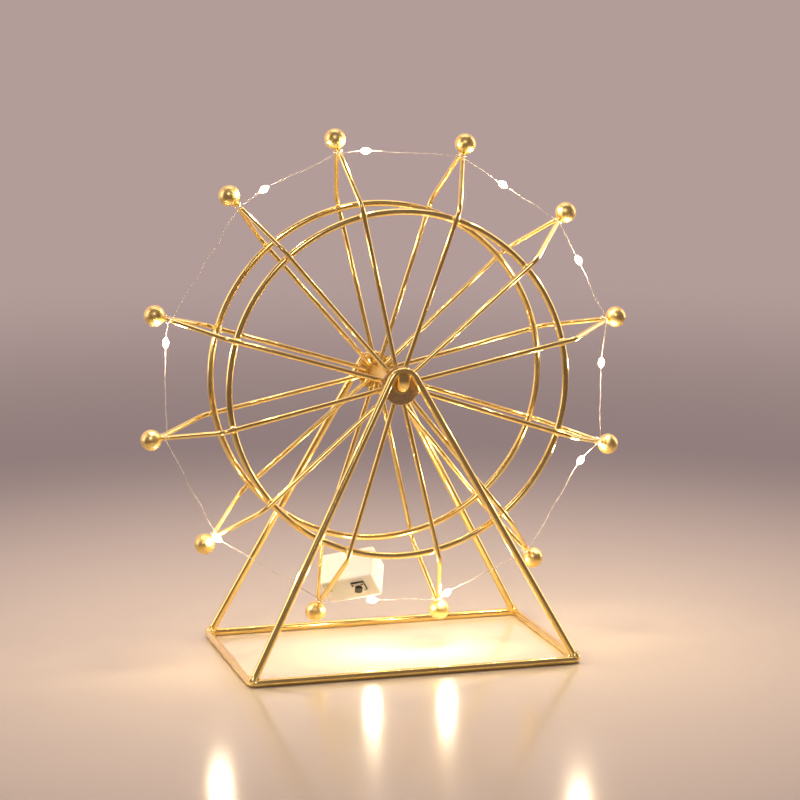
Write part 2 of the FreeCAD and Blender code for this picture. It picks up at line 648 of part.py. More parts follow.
def make_battery_lid():
    """Lid that slides out to the right, with tongues in the grooves and thumb ribs."""
    body = case_body("battery_lid_body")
    left = "sizes.slide_clearance - " + INNER_X
    right = "sizes.case_width / 2"
    edge = "(%s - sizes.slide_clearance)" % INNER_Z
    plate = new_sketch(body, "lid_plate", "XZ_Plane", "-" + LID_FRONT)
    rectangle(plate, "plate", left, right, "-" + edge, edge)
    pad(body, plate, "sizes.lid_thickness", away=True)
    tongues = new_sketch(body, "lid_tongues", "XZ_Plane", "-" + TONGUE_Y)
    rectangle(tongues, "tongue", left, right, "-(%s + sizes.groove_depth)" % edge,
              edge + " + sizes.groove_depth")
    pad(body, tongues, "sizes.lid_tongue", away=True)
    doc.recompute()
    for number in range(3):
        rib = new_sketch(body, "lid_grip_%d" % number, "XZ_Plane",
                         "-(sizes.case_depth - sizes.grip_width / 4)")
        at = "%s - %d * sizes.grip_pitch - sizes.case_edge" % (right, number)
        rectangle(rib, "grip", at + " - sizes.grip_width", at, "-%s / 2" % edge,
                  "%s / 2" % edge)
        pocket(body, rib, "sizes.grip_width", away=False)
    return sub_part(body, "battery_lid")


def make_circuit_board():
    body = case_body("circuit_board_body")
    outline = new_sketch(body, "board_outline", "XZ_Plane", "-" + BOARD_FRONT)
    half_x = "(%s - sizes.board_gap)" % INNER_X
    half_z = "(%s - sizes.board_gap)" % INNER_Z
    rectangle(outline, "board", "-" + half_x, half_x, "-" + half_z, half_z)
    circle(outline, "lead", "sizes.lead_hole_diameter", "sizes.lead_hole_x",
           "sizes.lead_hole_z")
    pad(body, outline, "sizes.board_thickness", away=True)
    return sub_part(body, "circuit_board")


def switch_square(body, name, offset, half):
    outline = new_sketch(body, name, "XZ_Plane", offset)
    rectangle(outline, "square", "sizes.switch_x - " + half, "sizes.switch_x + " + half,
              "sizes.switch_z - " + half, "sizes.switch_z + " + half)
    return outline


def switch_circle(body, name, offset, diameter):
    outline = new_sketch(body, name, "XZ_Plane", offset)
    circle(outline, "round", diameter, "sizes.switch_x", "sizes.switch_z")
    return outline


FLANGE_ROOM = "(sizes.button_flange_thickness + sizes.button_travel + 2 * sizes.button_gap)"
COVER_FRONT = "(sizes.switch_proud + sizes.switch_cover)"


def make_switch_body():
    """Black block of the push switch, with the well that the button sinks into."""
    body = case_body("switch_body_body")
    block = switch_square(body, "switch_block", "sizes.switch_proud", "sizes.switch_width / 2")
    pad(body, block, "sizes.switch_height", away=True)
    well = switch_circle(body, "switch_well", "sizes.switch_proud",
                         "sizes.button_flange + 2 * sizes.button_gap")
    pocket(body, well, FLANGE_ROOM)
    return sub_part(body, "switch_body")


def make_switch_cover():
    """Steel cover with the four rivet heads."""
    body = case_body("switch_cover_body")
    plate = switch_square(body, "cover_plate", COVER_FRONT, "sizes.switch_width / 2")
    circle(plate, "hole", "sizes.button_diameter + 2 * sizes.button_gap", "sizes.switch_x",
           "sizes.switch_z")
    pad(body, plate, "sizes.switch_cover", away=True)
    heads = new_sketch(body, "cover_rivets", "XZ_Plane", COVER_FRONT)
    for side_x, side_z in [(-1, -1), (1, -1), (1, 1), (-1, 1)]:
        name = "rivet_%s%s" % ("l" if side_x < 0 else "r", "b" if side_z < 0 else "t")
        circle(heads, name, "sizes.rivet_diameter",
               "sizes.switch_x + %d * sizes.rivet_spacing / 2" % side_x,
               "sizes.switch_z + %d * sizes.rivet_spacing / 2" % side_z)
    pad(body, heads, "sizes.rivet_height")
    return sub_part(body, "switch_cover")


def make_switch_button():
    """Round button with the collar that holds it under the cover."""
    body = case_body("switch_button_body")
    collar = switch_circle(body, "button_collar",
                           "sizes.switch_proud - sizes.button_gap - "
                           "sizes.button_flange_thickness", "sizes.button_flange")
    pad(body, collar, "sizes.button_flange_thickness")
    stem = switch_circle(body, "button_stem", "sizes.switch_proud - sizes.button_gap",
                         "sizes.button_diameter")
    pad(body, stem, "sizes.button_gap + sizes.switch_cover + sizes.button_height")
    return sub_part(body, "switch_button")


def make_button_cell(number):
    """LR44 cell, lying on its rim in the case with its axis along X."""
    body = case_body("button_cell_%d_body" % number)
    offset = "%s + sizes.contact_thickness + %d * sizes.cell_thickness" % (CELLS_LEFT, number - 1)
    outline = new_sketch(body, "cell_%d_outline" % number, "YZ_Plane", offset)
    circle(outline, "can", "sizes.cell_diameter", CELL_AXIS_Y, CELL_AXIS_Z)
    pad(body, outline, "sizes.cell_thickness")
    far_side = value_of(offset) + size("cell_thickness")

    def far_rim(edge, middle):
        return abs(middle.x - far_side) < 1e-6

    round_edges(body, "cell_%d_rounding" % number, far_rim, "sizes.cell_edge")
    return sub_part(body, "button_cell_%d" % number)


def make_contact_plate(label, offset):
    """Plate that presses on one end of the row of cells."""
    body = case_body(label + "_body")
    outline = new_sketch(body, label + "_outline", "YZ_Plane", offset)
    half = "sizes.contact_width / 2"
    rectangle(outline, "plate", "%s - %s" % (CELL_AXIS_Y, half), "%s + %s" % (CELL_AXIS_Y, half),
              "-" + INNER_Z, "%s - sizes.case_wall" % INNER_Z)
    pad(body, outline, "sizes.contact_thickness")
    return sub_part(body, label)


# ---------------------------------------------------------------- light string

def spoke_point(number, across, toward_back, out):
    """Point by a spoke: clockwise across it, toward the back, out from the axle."""
    angle = math.radians(size("spoke_angle_%d" % number))
    x = out * math.sin(angle) + across * math.cos(angle)
    z = size("axle_height") + out * math.cos(angle) - across * math.sin(angle)
    return Vector(x, toward_back, z)


def beside_fork(out, half_thickness):
    """How far from the middle plane a thing must pass the sloping wires of a fork."""
    slope = math.radians(value_of(NECK_ANGLE))
    centre = value_of(NECK_Y) + (value_of(NECK_Z) - out) * math.tan(slope)
    clear = size("spoke_wire") / 2 + half_thickness + size("cord_gap")
    return centre + clear / math.cos(slope)


def winding(number, light_in_front):
    """Corners of one turn of the string round a neck; it comes and goes at the front."""
    half_cord = size("cord_diameter") / 2
    across = size("spoke_wire") / 2 + half_cord + size("cord_gap")
    start = value_of(BALL_INSIDE) - size("wrap_drop")
    pitch = size("wrap_pitch")
    # the runs from fork to fork are chords, so they cross the wires nearer to the axle
    dip = across * math.tan(math.radians(size("run_slope")))
    front_thing = size("drop_diameter") / 2 if light_in_front else half_cord
    first = -beside_fork(start - dip, front_thing)
    # the string leaves over itself
    last = first - size("cord_diameter") - size("cord_gap")
    last = min(last, -beside_fork(start - pitch - dip, half_cord))
    corners = [
        (across, first, start),
        (across, beside_fork(start - pitch / 2, half_cord), start - pitch / 3),
        (-across, beside_fork(start - pitch, half_cord), start - pitch * 2 / 3),
        (-across, last, start - pitch),
    ]
    return [spoke_point(number, *corner) for corner in corners]


# Order of the necks along the string.  A light hangs at a share of the run before a neck;
# there the run sags towards the axle and stands toward the back, both in millimetres.
# A share of 1 puts the light in front of the neck itself.
ROUTE = [
    (8, None, 0.0, 0.0),
    (9, 1.0, 0.0, 0.0),
    (10, None, 0.0, 0.0),
    (11, 0.79, -1.3, 0.0),
    (12, None, 0.0, 0.0),
    (1, 0.27, -2.4, 0.0),
    (2, 0.22, -1.8, 0.0),
    (3, 0.41, 0.5, 0.0),
    (4, 0.39, -0.2, 0.0),
    (5, 0.34, 2.2, 0.0),
    (6, 0.20, 3.6, 0.0),
    (7, 0.885, 1.6, 0.0),
]
LAST_LIGHT = (8, 0.57, 0.3, 0.0)


def point_on_run(start, end, share, sag, back):
    """Point on a run of the string, pulled towards the axle and toward the back."""
    point = start + (end - start) * share
    inward = Vector(-point.x, 0, size("axle_height") - point.z).normalize()
    return point + inward * sag + Vector(0, back, 0)


def string_route():
    """Corner points with their bend radii, and the lights as (centre, direction)."""
    tight = size("wrap_bend_radius")
    gentle = size("run_bend_radius")
    case = doc.getObject("battery_case_body").Placement
    hole_x = size("lead_hole_x")
    hole_z = size("lead_hole_z")
    start = case.multVec(Vector(hole_x, value_of(BOARD_BACK) + 1.0, hole_z))
    outside = case.multVec(Vector(hole_x, -1.7, hole_z))
    neck = value_of(BALL_INSIDE) - size("wrap_drop")
    beside = spoke_point(8, -size("lead_side"), winding(8, False)[0].y, neck)
    points = [(start, 0.0), (outside, tight), (beside, tight)]
    lights = []
    for number, share, sag, back in ROUTE:
        turn = winding(number, share == 1.0)
        previous = points[-1][0]
        if share == 1.0:
            direction = (turn[0] - previous).normalize()
            lights.append((turn[0] - direction * size("spoke_wire") * 0.75, direction))
        elif share:
            light = point_on_run(previous, turn[0], share, sag, back)
            arriving = (light - previous).normalize()
            leaving = (turn[0] - light).normalize()
            lights.append((light, (arriving + leaving).normalize()))
            points.append((light, gentle))
        points.extend((corner, tight) for corner in turn)
    number, share, sag, back = LAST_LIGHT
    last = point_on_run(points[-1][0], winding(number, False)[0], share, sag, back)
    direction = (last - points[-1][0]).normalize()
    lights.append((last, direction))
    points.append((last + direction * size("drop_length") / 4, 0.0))
    return points, lights


def rounded_wire(points):
    """Straight runs through the points, joined by tangent arcs of the given radii."""
    edges = []
    here = points[0][0]
    for (before, _), (corner, radius), (after, _) in zip(points, points[1:], points[2:]):
        arriving = (corner - before).normalize()
        leaving = (after - corner).normalize()
        turn = arriving.getAngle(leaving)
        # a bend takes less than half of the shorter run beside it
        room = 0.45 * min((corner - before).Length, (after - corner).Length)
        radius = min(radius, room / math.tan(turn / 2))
        trim = radius * math.tan(turn / 2)
        first = corner - arriving * trim
        last = corner + leaving * trim
        inward = (leaving - arriving).normalize()
        middle = corner + inward * (radius / math.cos(turn / 2) - radius)
        edges.append(Part.LineSegment(here, first).toShape())
        edges.append(Part.Arc(first, middle, last).toShape())
        here = last
    edges.append(Part.LineSegment(here, points[-1][0]).toShape())
    return Part.Wire(edges)


def make_light_string(points, path):
    """Twin copper wire from the case, once round each neck and on to the last light."""
    start = points[0][0]
    direction = points[1][0] - start
    radius = size("cord_diameter") / 2
    section = Part.Face(Part.Wire(Part.makeCircle(radius, start, direction)))
    wire = doc.addObject("Part::Feature", "led_wire_sweep")
    wire.Shape = path.makePipe(section)
    expected = math.pi * radius ** 2 * path.Length
    print("light string: length %.1f mm, volume %.1f of %.1f mm3"
          % (path.Length, wire.Shape.Volume, expected))
    if abs(wire.Shape.Volume - expected) > 0.01 * expected:
        raise RuntimeError("the light string's solid doesn't follow its path")
    return sub_part(wire, "led_wire")


def make_drop(number, place):
    """Resin drop round the string: a short barrel with tapered ends."""
    taper = "sizes.drop_length * 0.35"
    barrel = "sizes.drop_length * 0.3"
    middle = doc.addObject("Part::Cylinder", "drop_%d_barrel" % number)
    middle.setExpression("Radius", "sizes.drop_diameter / 2")
    middle.setExpression("Height", barrel)
    middle.setExpression("Placement.Base.z", "-%s / 2" % barrel)
    ends = []
    for end, radii in (("low", ("drop_tip", "drop_diameter")),
                       ("high", ("drop_diameter", "drop_tip"))):
        cone = doc.addObject("Part::Cone", "drop_%d_%s" % (number, end))
        cone.setExpression("Radius1", "sizes.%s / 2" % radii[0])
        cone.setExpression("Radius2", "sizes.%s / 2" % radii[1])
        cone.setExpression("Height", taper)
        start = "-sizes.drop_length / 2" if end == "low" else "%s / 2" % barrel
        cone.setExpression("Placement.Base.z", start)
        ends.append(cone)
    drop = doc.addObject("Part::MultiFuse", "drop_%d" % number)
    drop.Shapes = [middle, *ends]
    drop.Placement = place
    return drop


def make_chip(number, place):
    """LED chip, soldered to one side of the string inside its drop."""
    chip = doc.addObject("Part::Box", "chip_%d" % number)
    chip.setExpression("Length", "sizes.chip_width")
    chip.setExpression("Width", "sizes.chip_thickness")
    chip.setExpression("Height", "sizes.chip_length")
    # the solder side is hollowed where it sits on the round wire
    solder_side = size("cord_diameter") * 0.35
    seat = Vector(-size("chip_width") / 2, solder_side, -size("chip_length") / 2)
    chip.Placement = place * FreeCAD.Placement(seat, FreeCAD.Rotation())
    return chip


def make_lights(lights, path, wire):
    """The ten lights: chips on the string, and the resin drops that seal them."""
    chips = []
    drops = []
    for number, (centre, direction) in enumerate(lights, start=1):
        on_string = path.distToShape(Part.Vertex(centre))[1][0][0]
        place = FreeCAD.Placement(on_string, FreeCAD.Rotation(Vector(0, 0, 1), direction))
        chips.append(make_chip(number, place))
        drops.append(make_drop(number, place))
    seated_chips = cut("led_chips_cut", group("led_chip_group", chips), wire)
    sub_part(seated_chips, "led_chips")
    inside = group("inside_the_drops", [wire, seated_chips])
    return sub_part(cut("led_drops_cut", group("led_drop_group", drops), inside), "led_drops")


# ---------------------------------------------------------------- the whole ornament

base = make_base_loop()
a_frame_front = make_a_frame(FRONT, "a_frame_front", base)
a_frame_rear = make_a_frame(REAR, "a_frame_rear", base)
make_foot_welds(group("welded_rods", [base, a_frame_front, a_frame_rear]))
make_axle(group("arches", [a_frame_front, a_frame_rear]))
make_hub_tube()
make_hub_disc(FRONT, "hub_disc_front")
make_hub_disc(REAR, "hub_disc_rear")
make_rim(FRONT, "rim_front")
make_rim(REAR, "rim_rear")
for spoke in SPOKES:
    make_spoke(spoke, FRONT, "spoke_front_%d" % spoke)
    make_spoke(spoke, REAR, "spoke_rear_%d" % spoke)
    make_ball(spoke)
make_battery_case()
make_battery_lid()
make_circuit_board()
make_switch_body()
make_switch_cover()
make_switch_button()
for cell in range(1, 4):
    make_button_cell(cell)
make_contact_plate("contact_left", CELLS_LEFT)
make_contact_plate("contact_right",
                   "%s + sizes.contact_thickness + 3 * sizes.cell_thickness" % CELLS_LEFT)
doc.recompute()
string_points, string_lights = string_route()
string_line = rounded_wire(string_points)
light_string = make_light_string(string_points, string_line)
make_lights(string_lights, string_line, light_string)
doc.recompute()

for item in doc.Objects:
    if "Invalid" in item.State or "Error" in item.State:
        raise RuntimeError("%s did not recompute: %s" % (item.Label, item.State))
for node in nodes:
    if node.Shape.isNull() or not node.Shape.isValid():
        raise RuntimeError("%s has no sound shape" % node.Label)

os.makedirs("parts", exist_ok=True)
for node in nodes:
    node.Shape.exportStep("parts/%s.step" % node.Label)
    print("%-16s %d solid(s) %10.2f mm3" % (node.Label, len(node.Shape.Solids), node.Shape.Volume))
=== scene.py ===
"""Looks of the gilt wire Ferris wheel ornament: gilding, welds, light string, case and stage."""

import json
import math

import bmesh
import bpy
from mathutils import Matrix, Vector, noise


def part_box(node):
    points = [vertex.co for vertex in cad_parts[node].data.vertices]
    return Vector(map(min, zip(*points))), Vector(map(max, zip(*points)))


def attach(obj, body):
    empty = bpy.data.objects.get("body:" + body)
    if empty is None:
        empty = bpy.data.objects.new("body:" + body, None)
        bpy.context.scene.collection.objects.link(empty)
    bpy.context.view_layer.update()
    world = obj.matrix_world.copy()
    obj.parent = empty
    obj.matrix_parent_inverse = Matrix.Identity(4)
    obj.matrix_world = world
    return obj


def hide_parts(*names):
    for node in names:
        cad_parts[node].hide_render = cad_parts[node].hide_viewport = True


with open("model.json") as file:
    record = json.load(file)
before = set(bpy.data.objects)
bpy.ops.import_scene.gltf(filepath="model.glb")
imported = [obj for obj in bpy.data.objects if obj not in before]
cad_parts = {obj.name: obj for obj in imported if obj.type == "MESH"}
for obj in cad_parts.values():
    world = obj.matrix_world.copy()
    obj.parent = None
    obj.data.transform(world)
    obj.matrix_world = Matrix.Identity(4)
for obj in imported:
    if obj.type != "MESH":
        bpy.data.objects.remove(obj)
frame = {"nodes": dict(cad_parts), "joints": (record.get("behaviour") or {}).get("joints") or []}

bl_info = {
    "name": "Ferris wheel ornament",
    "version": (1, 0, 0),
    "blender": (4, 5, 0),
    "location": "3D View > Sidebar > Ornament",
    "description": "Dresses a gilt wire Ferris wheel with welds, a light string and a studio",
    "category": "Object",
}

MM = 0.001
SPOKES = range(1, 13)
# the front is toward -Y
SIDES = {"front": -1, "rear": 1}
FOUR_CORNERS = [(-1, -1), (1, -1), (1, 1), (-1, 1)]
STAND_WIRES = ["base_loop", "a_frame_front", "a_frame_rear", "axle"]
WHEEL_WIRES = ["rim_front", "rim_rear"]
WHEEL_WIRES += ["spoke_%s_%d" % (side, number) for side in SIDES for number in SPOKES]


# ---------------------------------------------------------------- places, from the frame

def corners(node):
    low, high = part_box(node)
    return Vector(low), Vector(high)


def middle(node):
    low, high = corners(node)
    return (low + high) / 2


def span(node, axis):
    """First and last place of a node along an axis."""
    places = [vert.co.dot(axis) for vert in frame["nodes"][node].data.vertices]
    return min(places), max(places)


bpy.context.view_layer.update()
AXIS = middle("hub_tube")
BALL_RADIUS = (corners("ball_1")[1] - corners("ball_1")[0]).x / 2
BALL_CIRCLE = (middle("ball_1") - AXIS).length
BALL_INSIDE = BALL_CIRCLE - BALL_RADIUS

JOINT_AXES = {joint["name"]: Vector(joint["axis"]).normalized() for joint in frame["joints"]}
CASE_RIGHT = JOINT_AXES["lid_slide"]
CASE_BACK = JOINT_AXES["button_press"]
CASE_UP = CASE_RIGHT.cross(CASE_BACK)
CASE_TURN = Matrix((CASE_RIGHT, CASE_BACK, CASE_UP)).transposed()
CASE_FACE = (CASE_RIGHT * sum(span("battery_case", CASE_RIGHT)) / 2
             + CASE_BACK * span("battery_case", CASE_BACK)[0]
             + CASE_UP * sum(span("battery_case", CASE_UP)) / 2)


def case_point(right, back, up):
    """Point from the middle of the case's switch face."""
    return CASE_FACE + CASE_TURN @ Vector((right, back, up))


def spoke_angle(number):
    """Clockwise from the top, as the front shows the wheel."""
    place = middle("ball_%d" % number) - AXIS
    return math.atan2(place.x, place.z)


def spoke_point(number, across, toward_back, out):
    """Point by a spoke: clockwise across it, toward the back, out from the axle."""
    angle = spoke_angle(number)
    x = out * math.sin(angle) + across * math.cos(angle)
    z = out * math.cos(angle) - across * math.sin(angle)
    return AXIS + Vector((x, toward_back, z))


def spoke_axes(number, side):
    """Across, toward the back and outward, as the columns of a turn."""
    angle = spoke_angle(number)
    across = Vector((math.cos(angle), 0, -math.sin(angle)))
    out = Vector((math.sin(angle), 0, math.cos(angle)))
    return Matrix((across, Vector((0, side, 0)), out)).transposed()


def facing(along):
    """Turn that points +Z along a direction."""
    return along.to_track_quat("Z", "Y").to_matrix()


# ---------------------------------------------------------------- user's sizes and colours

def length(name, description, millimetres):
    return bpy.props.FloatProperty(
        name=name, description=description, default=millimetres * MM, unit="LENGTH")


def slope(name, description, degrees):
    return bpy.props.FloatProperty(
        name=name, description=description, default=math.radians(degrees), subtype="ANGLE")


def colour(name, description, red, green, blue):
    return bpy.props.FloatVectorProperty(
        name=name, description=description, subtype="COLOR", size=3,
        default=(red, green, blue), min=0, max=1)


class OrnamentSizes(bpy.types.PropertyGroup):
    spoke_wire: length("Spoke wire", "Diameter of the spokes' wire", 2.2)
    neck_slope: slope("Neck slope", "Slope of a spoke's outer run from the radius", 42.48)
    hub_weld: length("Hub weld", "Weld puddle where a spoke lies on its hub disc", 3.3)
    rim_weld: length("Rim weld", "Weld puddle where a spoke crosses its rim", 4.4)
    foot_weld: length("Foot weld", "Width of the weld where a leg stands on the base", 5.0)
    leg_top: length("Leg top", "Distance from the middle plane to the top of a leg", 27)
    cord_diameter: length("String", "Width of the string's two strands together", 0.5)
    cord_gap: length("String gap", "Air between the string and what it is wound on", 0.1)
    cord_lay: length("String lay", "Length of string in one twist of its strands", 9.0)
    string_sway: length("String sway", "Small bends of the string between the balls", 0.9)
    wrap_drop: length("Winding start", "Start of a winding below the ball's surface", 0.45)
    wrap_pitch: length("Winding pitch", "One turn of a winding along the spoke", 0.7)
    run_slope: slope("Run slope", "Steepest slope of the string where it crosses a neck", 30)
    lead_side: length("Lead", "Lead from the case, beside the wires of its spoke", 2.4)
    lead_hole_right: length("Lead hole, right", "Outlet of the string in the face", -9.2)
    lead_hole_up: length("Lead hole, up", "Outlet of the string in the face", 1.1)
    drop_diameter: length("Drop diameter", "Resin drop over a light", 2.8)
    drop_length: length("Drop length", "Resin drop over a light", 5.6)
    post_spacing: length("Post spacing", "Between the posts of the switch's cover", 4.5)


class OrnamentColours(bpy.types.PropertyGroup):
    gilt: colour("Gilt", "Plated wire", 0.96, 0.76, 0.31)
    gilt_shade: colour("Gilt shade", "Darker patches of the plating", 0.86, 0.57, 0.19)
    # Painted shade: a dark colour that stands in for the dark front reflected in the front hub
    # disc
    front_disc_painted_shade: colour("Painted_disc_shade", "Dull skin of the front hub disc", 0.42, 0.32, 0.24)
    glow: colour("Glow", "Light of the string", 1.0, 0.74, 0.40)
    lamplight: colour("Lamplight", "Light that the string throws", 1.0, 0.82, 0.55)
    resin: colour("Resin", "Drops over the lights", 1.0, 0.93, 0.80)
    phosphor: colour("Phosphor", "Yellow face of a light's chip", 1.0, 0.78, 0.25)
    copper: colour("Copper", "Lacquered wire of the string", 1.0, 0.90, 0.82)
    case: colour("Case", "White plastic of the battery case", 0.97, 0.96, 0.92)
    board: colour("Board", "Solder mask of the circuit board", 0.03, 0.17, 0.08)
    black: colour("Black", "Black plastic of the switch", 0.02, 0.02, 0.02)
    steel: colour("Steel", "Cover of the switch", 0.92, 0.90, 0.86)
    nickel: colour("Nickel", "Cells and contacts", 0.70, 0.69, 0.66)
    floor: colour("Floor", "Pale floor", 0.66, 0.57, 0.43)
    backdrop: colour("Backdrop", "Far end of the studio", 0.45, 0.335, 0.318)
    # darker towards the foot of the backdrop
    backdrop_foot: colour("Backdrop_foot", "Foot of the backdrop", 0.285, 0.208, 0.20)


def sizes():
    return bpy.context.scene.ornament_sizes


def colours():
    return bpy.context.scene.ornament_colours


# ---------------------------------------------------------------- material tools

# How bright the studio stands around the object, and the depths between which it brightens
FRONT_LEVEL, REAR_LEVEL = 0.46, 2.2
FRONT_DEPTH, REAR_DEPTH = -0.4, 0.8


def shaded(tint, share):
    """A darker tone of a colour."""
    return [channel * share for channel in tint]


class Nodes:
    """Short ways to build the nodes of a tree."""

    def __init__(self, tree):
        self.tree = tree

    def node(self, kind, **settings):
        made = self.tree.nodes.new(kind)
        for name, value in settings.items():
            setattr(made, name, value)
        return made

    def link(self, source, target):
        self.tree.links.new(source, target)

    def coordinates(self):
        return self.node("ShaderNodeTexCoord").outputs["Object"]

    def noise(self, scale, detail=3.0, stretch=None):
        """Noise over the object's own coordinates, its features 1/scale metres wide."""
        texture = self.node("ShaderNodeTexNoise")
        texture.inputs["Scale"].default_value = scale
        texture.inputs["Detail"].default_value = detail
        place = self.coordinates()
        if stretch:
            mapping = self.node("ShaderNodeMapping")
            mapping.inputs["Scale"].default_value = stretch
            self.link(place, mapping.inputs["Vector"])
            place = mapping.outputs["Vector"]
        self.link(place, texture.inputs["Vector"])
        return texture.outputs["Fac"]

    def spread(self, value, low=0.0, high=1.0, start=0.3, end=0.7):
        """Maps a value onto a range; noise lies mostly between 0.3 and 0.7."""
        ranged = self.node("ShaderNodeMapRange")
        ranged.inputs["From Min"].default_value = start
        ranged.inputs["From Max"].default_value = end
        ranged.inputs["To Min"].default_value = low
        ranged.inputs["To Max"].default_value = high
        self.link(value, ranged.inputs["Value"])
        return ranged.outputs["Result"]

    def ramp(self, value, start, end):
        """A smooth step from 0 to 1."""
        step = self.node("ShaderNodeMapRange", interpolation_type="SMOOTHSTEP")
        step.inputs["From Min"].default_value = start
        step.inputs["From Max"].default_value = end
        self.link(value, step.inputs["Value"])
        return step.outputs["Result"]

    def blend(self, value, first, second):
        """Mixes two colours by a value from 0 to 1."""
        mix = self.node("ShaderNodeMix", data_type="RGBA")
        mix.inputs["A"].default_value = (*first, 1)
        mix.inputs["B"].default_value = (*second, 1)
        self.link(value, mix.inputs["Factor"])
        return mix.outputs["Result"]

    def by_depth(self, place):
        """Dark towards the front and bright towards the back; 1 where it is seen directly.

        The place is one on the floor, in metres, or a direction out of the room."""
        parts = self.node("ShaderNodeSeparateXYZ")
        self.link(place, parts.inputs["Vector"])
        depth = self.node("ShaderNodeMapRange", interpolation_type="SMOOTHSTEP")
        depth.inputs["From Min"].default_value = FRONT_DEPTH
        depth.inputs["From Max"].default_value = REAR_DEPTH
        depth.inputs["To Min"].default_value = FRONT_LEVEL
        depth.inputs["To Max"].default_value = REAR_LEVEL
        self.link(parts.outputs["Y"], depth.inputs["Value"])
        seen = self.node("ShaderNodeMapRange")
        self.link(self.node("ShaderNodeLightPath").outputs["Is Camera Ray"], seen.inputs["Value"])
        self.link(depth.outputs["Result"], seen.inputs["To Min"])
        return seen.outputs["Result"]


class Shader(Nodes):
    """A Principled material and short ways to set it."""

    def __init__(self, name):
        self.material = bpy.data.materials.new(name)
        self.material.use_nodes = True
        super().__init__(self.material.node_tree)
        self.principled = self.tree.nodes["Principled BSDF"]

    def plain(self, **values):
        for name, value in values.items():
            self.principled.inputs[name.replace("_", " ")].default_value = value

    def drive(self, socket, value):
        self.link(value, self.principled.inputs[socket])

    def mottle(self, pattern, tint, shade, most=1.0):
        """Colours the surface from a tint towards its shade, by a pattern."""
        self.drive("Base Color", self.blend(self.spread(pattern, high=most), tint, shade))

    def wear(self, pattern, roughness, least, most):
        """Varies the roughness by a pattern, between two shares of it."""
        self.drive("Roughness", self.spread(pattern, roughness * least, roughness * most))

    def bump(self, height, distance):
        bump = self.node("ShaderNodeBump")
        bump.inputs["Distance"].default_value = distance
        self.link(height, bump.inputs["Height"])
        self.drive("Normal", bump.outputs["Normal"])


def gilt_material(name, roughness, grain, depth):
    """Thin warm plating over drawn wire: cloudy colour, soft wear and small dents.

    The grain is how many dents lie in a metre, and the depth is how deep they are."""
    shader = Shader(name)
    shader.plain(Metallic=1.0)
    shader.mottle(shader.noise(90, 4), colours().gilt, colours().gilt_shade, most=0.6)
    shader.wear(shader.noise(420, 5), roughness, 0.75, 1.35)
    shader.bump(shader.noise(grain, 4), depth)
    return shader.material


def plastic_material(name, tint, roughness, depth):
    """Moulded plastic with a fine spark-eroded skin."""
    shader = Shader(name)
    shader.mottle(shader.noise(60), tint, shaded(tint, 0.93))
    shader.wear(shader.noise(900), roughness, 0.85, 1.15)
    shader.bump(shader.noise(2600, 2), depth)
    return shader


def steel_material(name, tint, roughness, stretch):
    """Rolled or stamped steel with faint streaks, across the way that is stretched."""
    shader = Shader(name)
    shader.plain(Metallic=1.0)
    streaks = shader.noise(900, stretch=stretch)
    shader.mottle(streaks, tint, shaded(tint, 0.8))
    shader.wear(streaks, roughness, 0.8, 1.3)
    shader.bump(streaks, 0.01 * MM)
    return shader.material


def dress(node, material):
    """Gives a CAD node a finished material."""
    mesh = frame["nodes"][node].data
    mesh.materials.clear()
    mesh.materials.append(material)


# ---------------------------------------------------------------- mesh tools

# ripples in a blob's radius
RIPPLES = 2.2


def place_piece(name, mesh, material, body):
    """Puts a finished mesh in the scene as a piece that rides on a body."""
    mesh.shade_smooth()
    mesh.materials.clear()
    mesh.materials.append(material)
    piece = bpy.data.objects.new(name, mesh)
    bpy.context.scene.collection.objects.link(piece)
    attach(piece, body)
    return piece


def new_piece(name, mesh_data, material, body):
    """Turns a bmesh into a piece that rides on a body."""
    mesh = bpy.data.meshes.new(name)
    bmesh.ops.recalc_face_normals(mesh_data, faces=mesh_data.faces)
    mesh_data.to_mesh(mesh)
    mesh_data.free()
    return place_piece(name, mesh, material, body)


def scaled(shares, size):
    """Half sizes of a blob from its shares of a size."""
    return [share * size for share in shares]


def add_blob(mesh_data, turn, place, radii, lump=0.12, seed=0.0):
    """A flattened ball with uneven skin, such as a weld puddle.

    The lump is how far its skin rises or sinks, as a share of its radius."""
    made = bmesh.ops.create_icosphere(mesh_data, subdivisions=3, radius=1.0)
    for vert in made["verts"]:
        ripple = noise.noise(vert.co * RIPPLES + Vector((seed, seed, 0)))
        vert.co = vert.co * (1 + lump * ripple)
    shape = Matrix.Diagonal((*radii, 1))
    bmesh.ops.transform(mesh_data, matrix=Matrix.Translation(place) @ turn.to_4x4() @ shape,
                        verts=made["verts"])


def curve_mesh(name, kind, lines, radius=0.0):
    """Mesh of a curve through lines of points: bare, or round when a radius is given."""
    curve = bpy.data.curves.new(name, "CURVE")
    curve.dimensions = "3D"
    curve.resolution_u = 16
    curve.bevel_depth = radius
    curve.bevel_resolution = 2
    curve.use_fill_caps = radius > 0
    for line in lines:
        spline = curve.splines.new(kind)
        spline.points.add(len(line) - 1)
        for knot, place in zip(spline.points, line):
            knot.co = (*place, 1)
        if kind == "NURBS":
            spline.order_u = 3
            spline.use_endpoint_u = True
    guide = bpy.data.objects.new(name, curve)
    mesh = bpy.data.meshes.new_from_object(guide)
    bpy.data.objects.remove(guide)
    bpy.data.curves.remove(curve)
    return mesh


# ---------------------------------------------------------------- the string's way

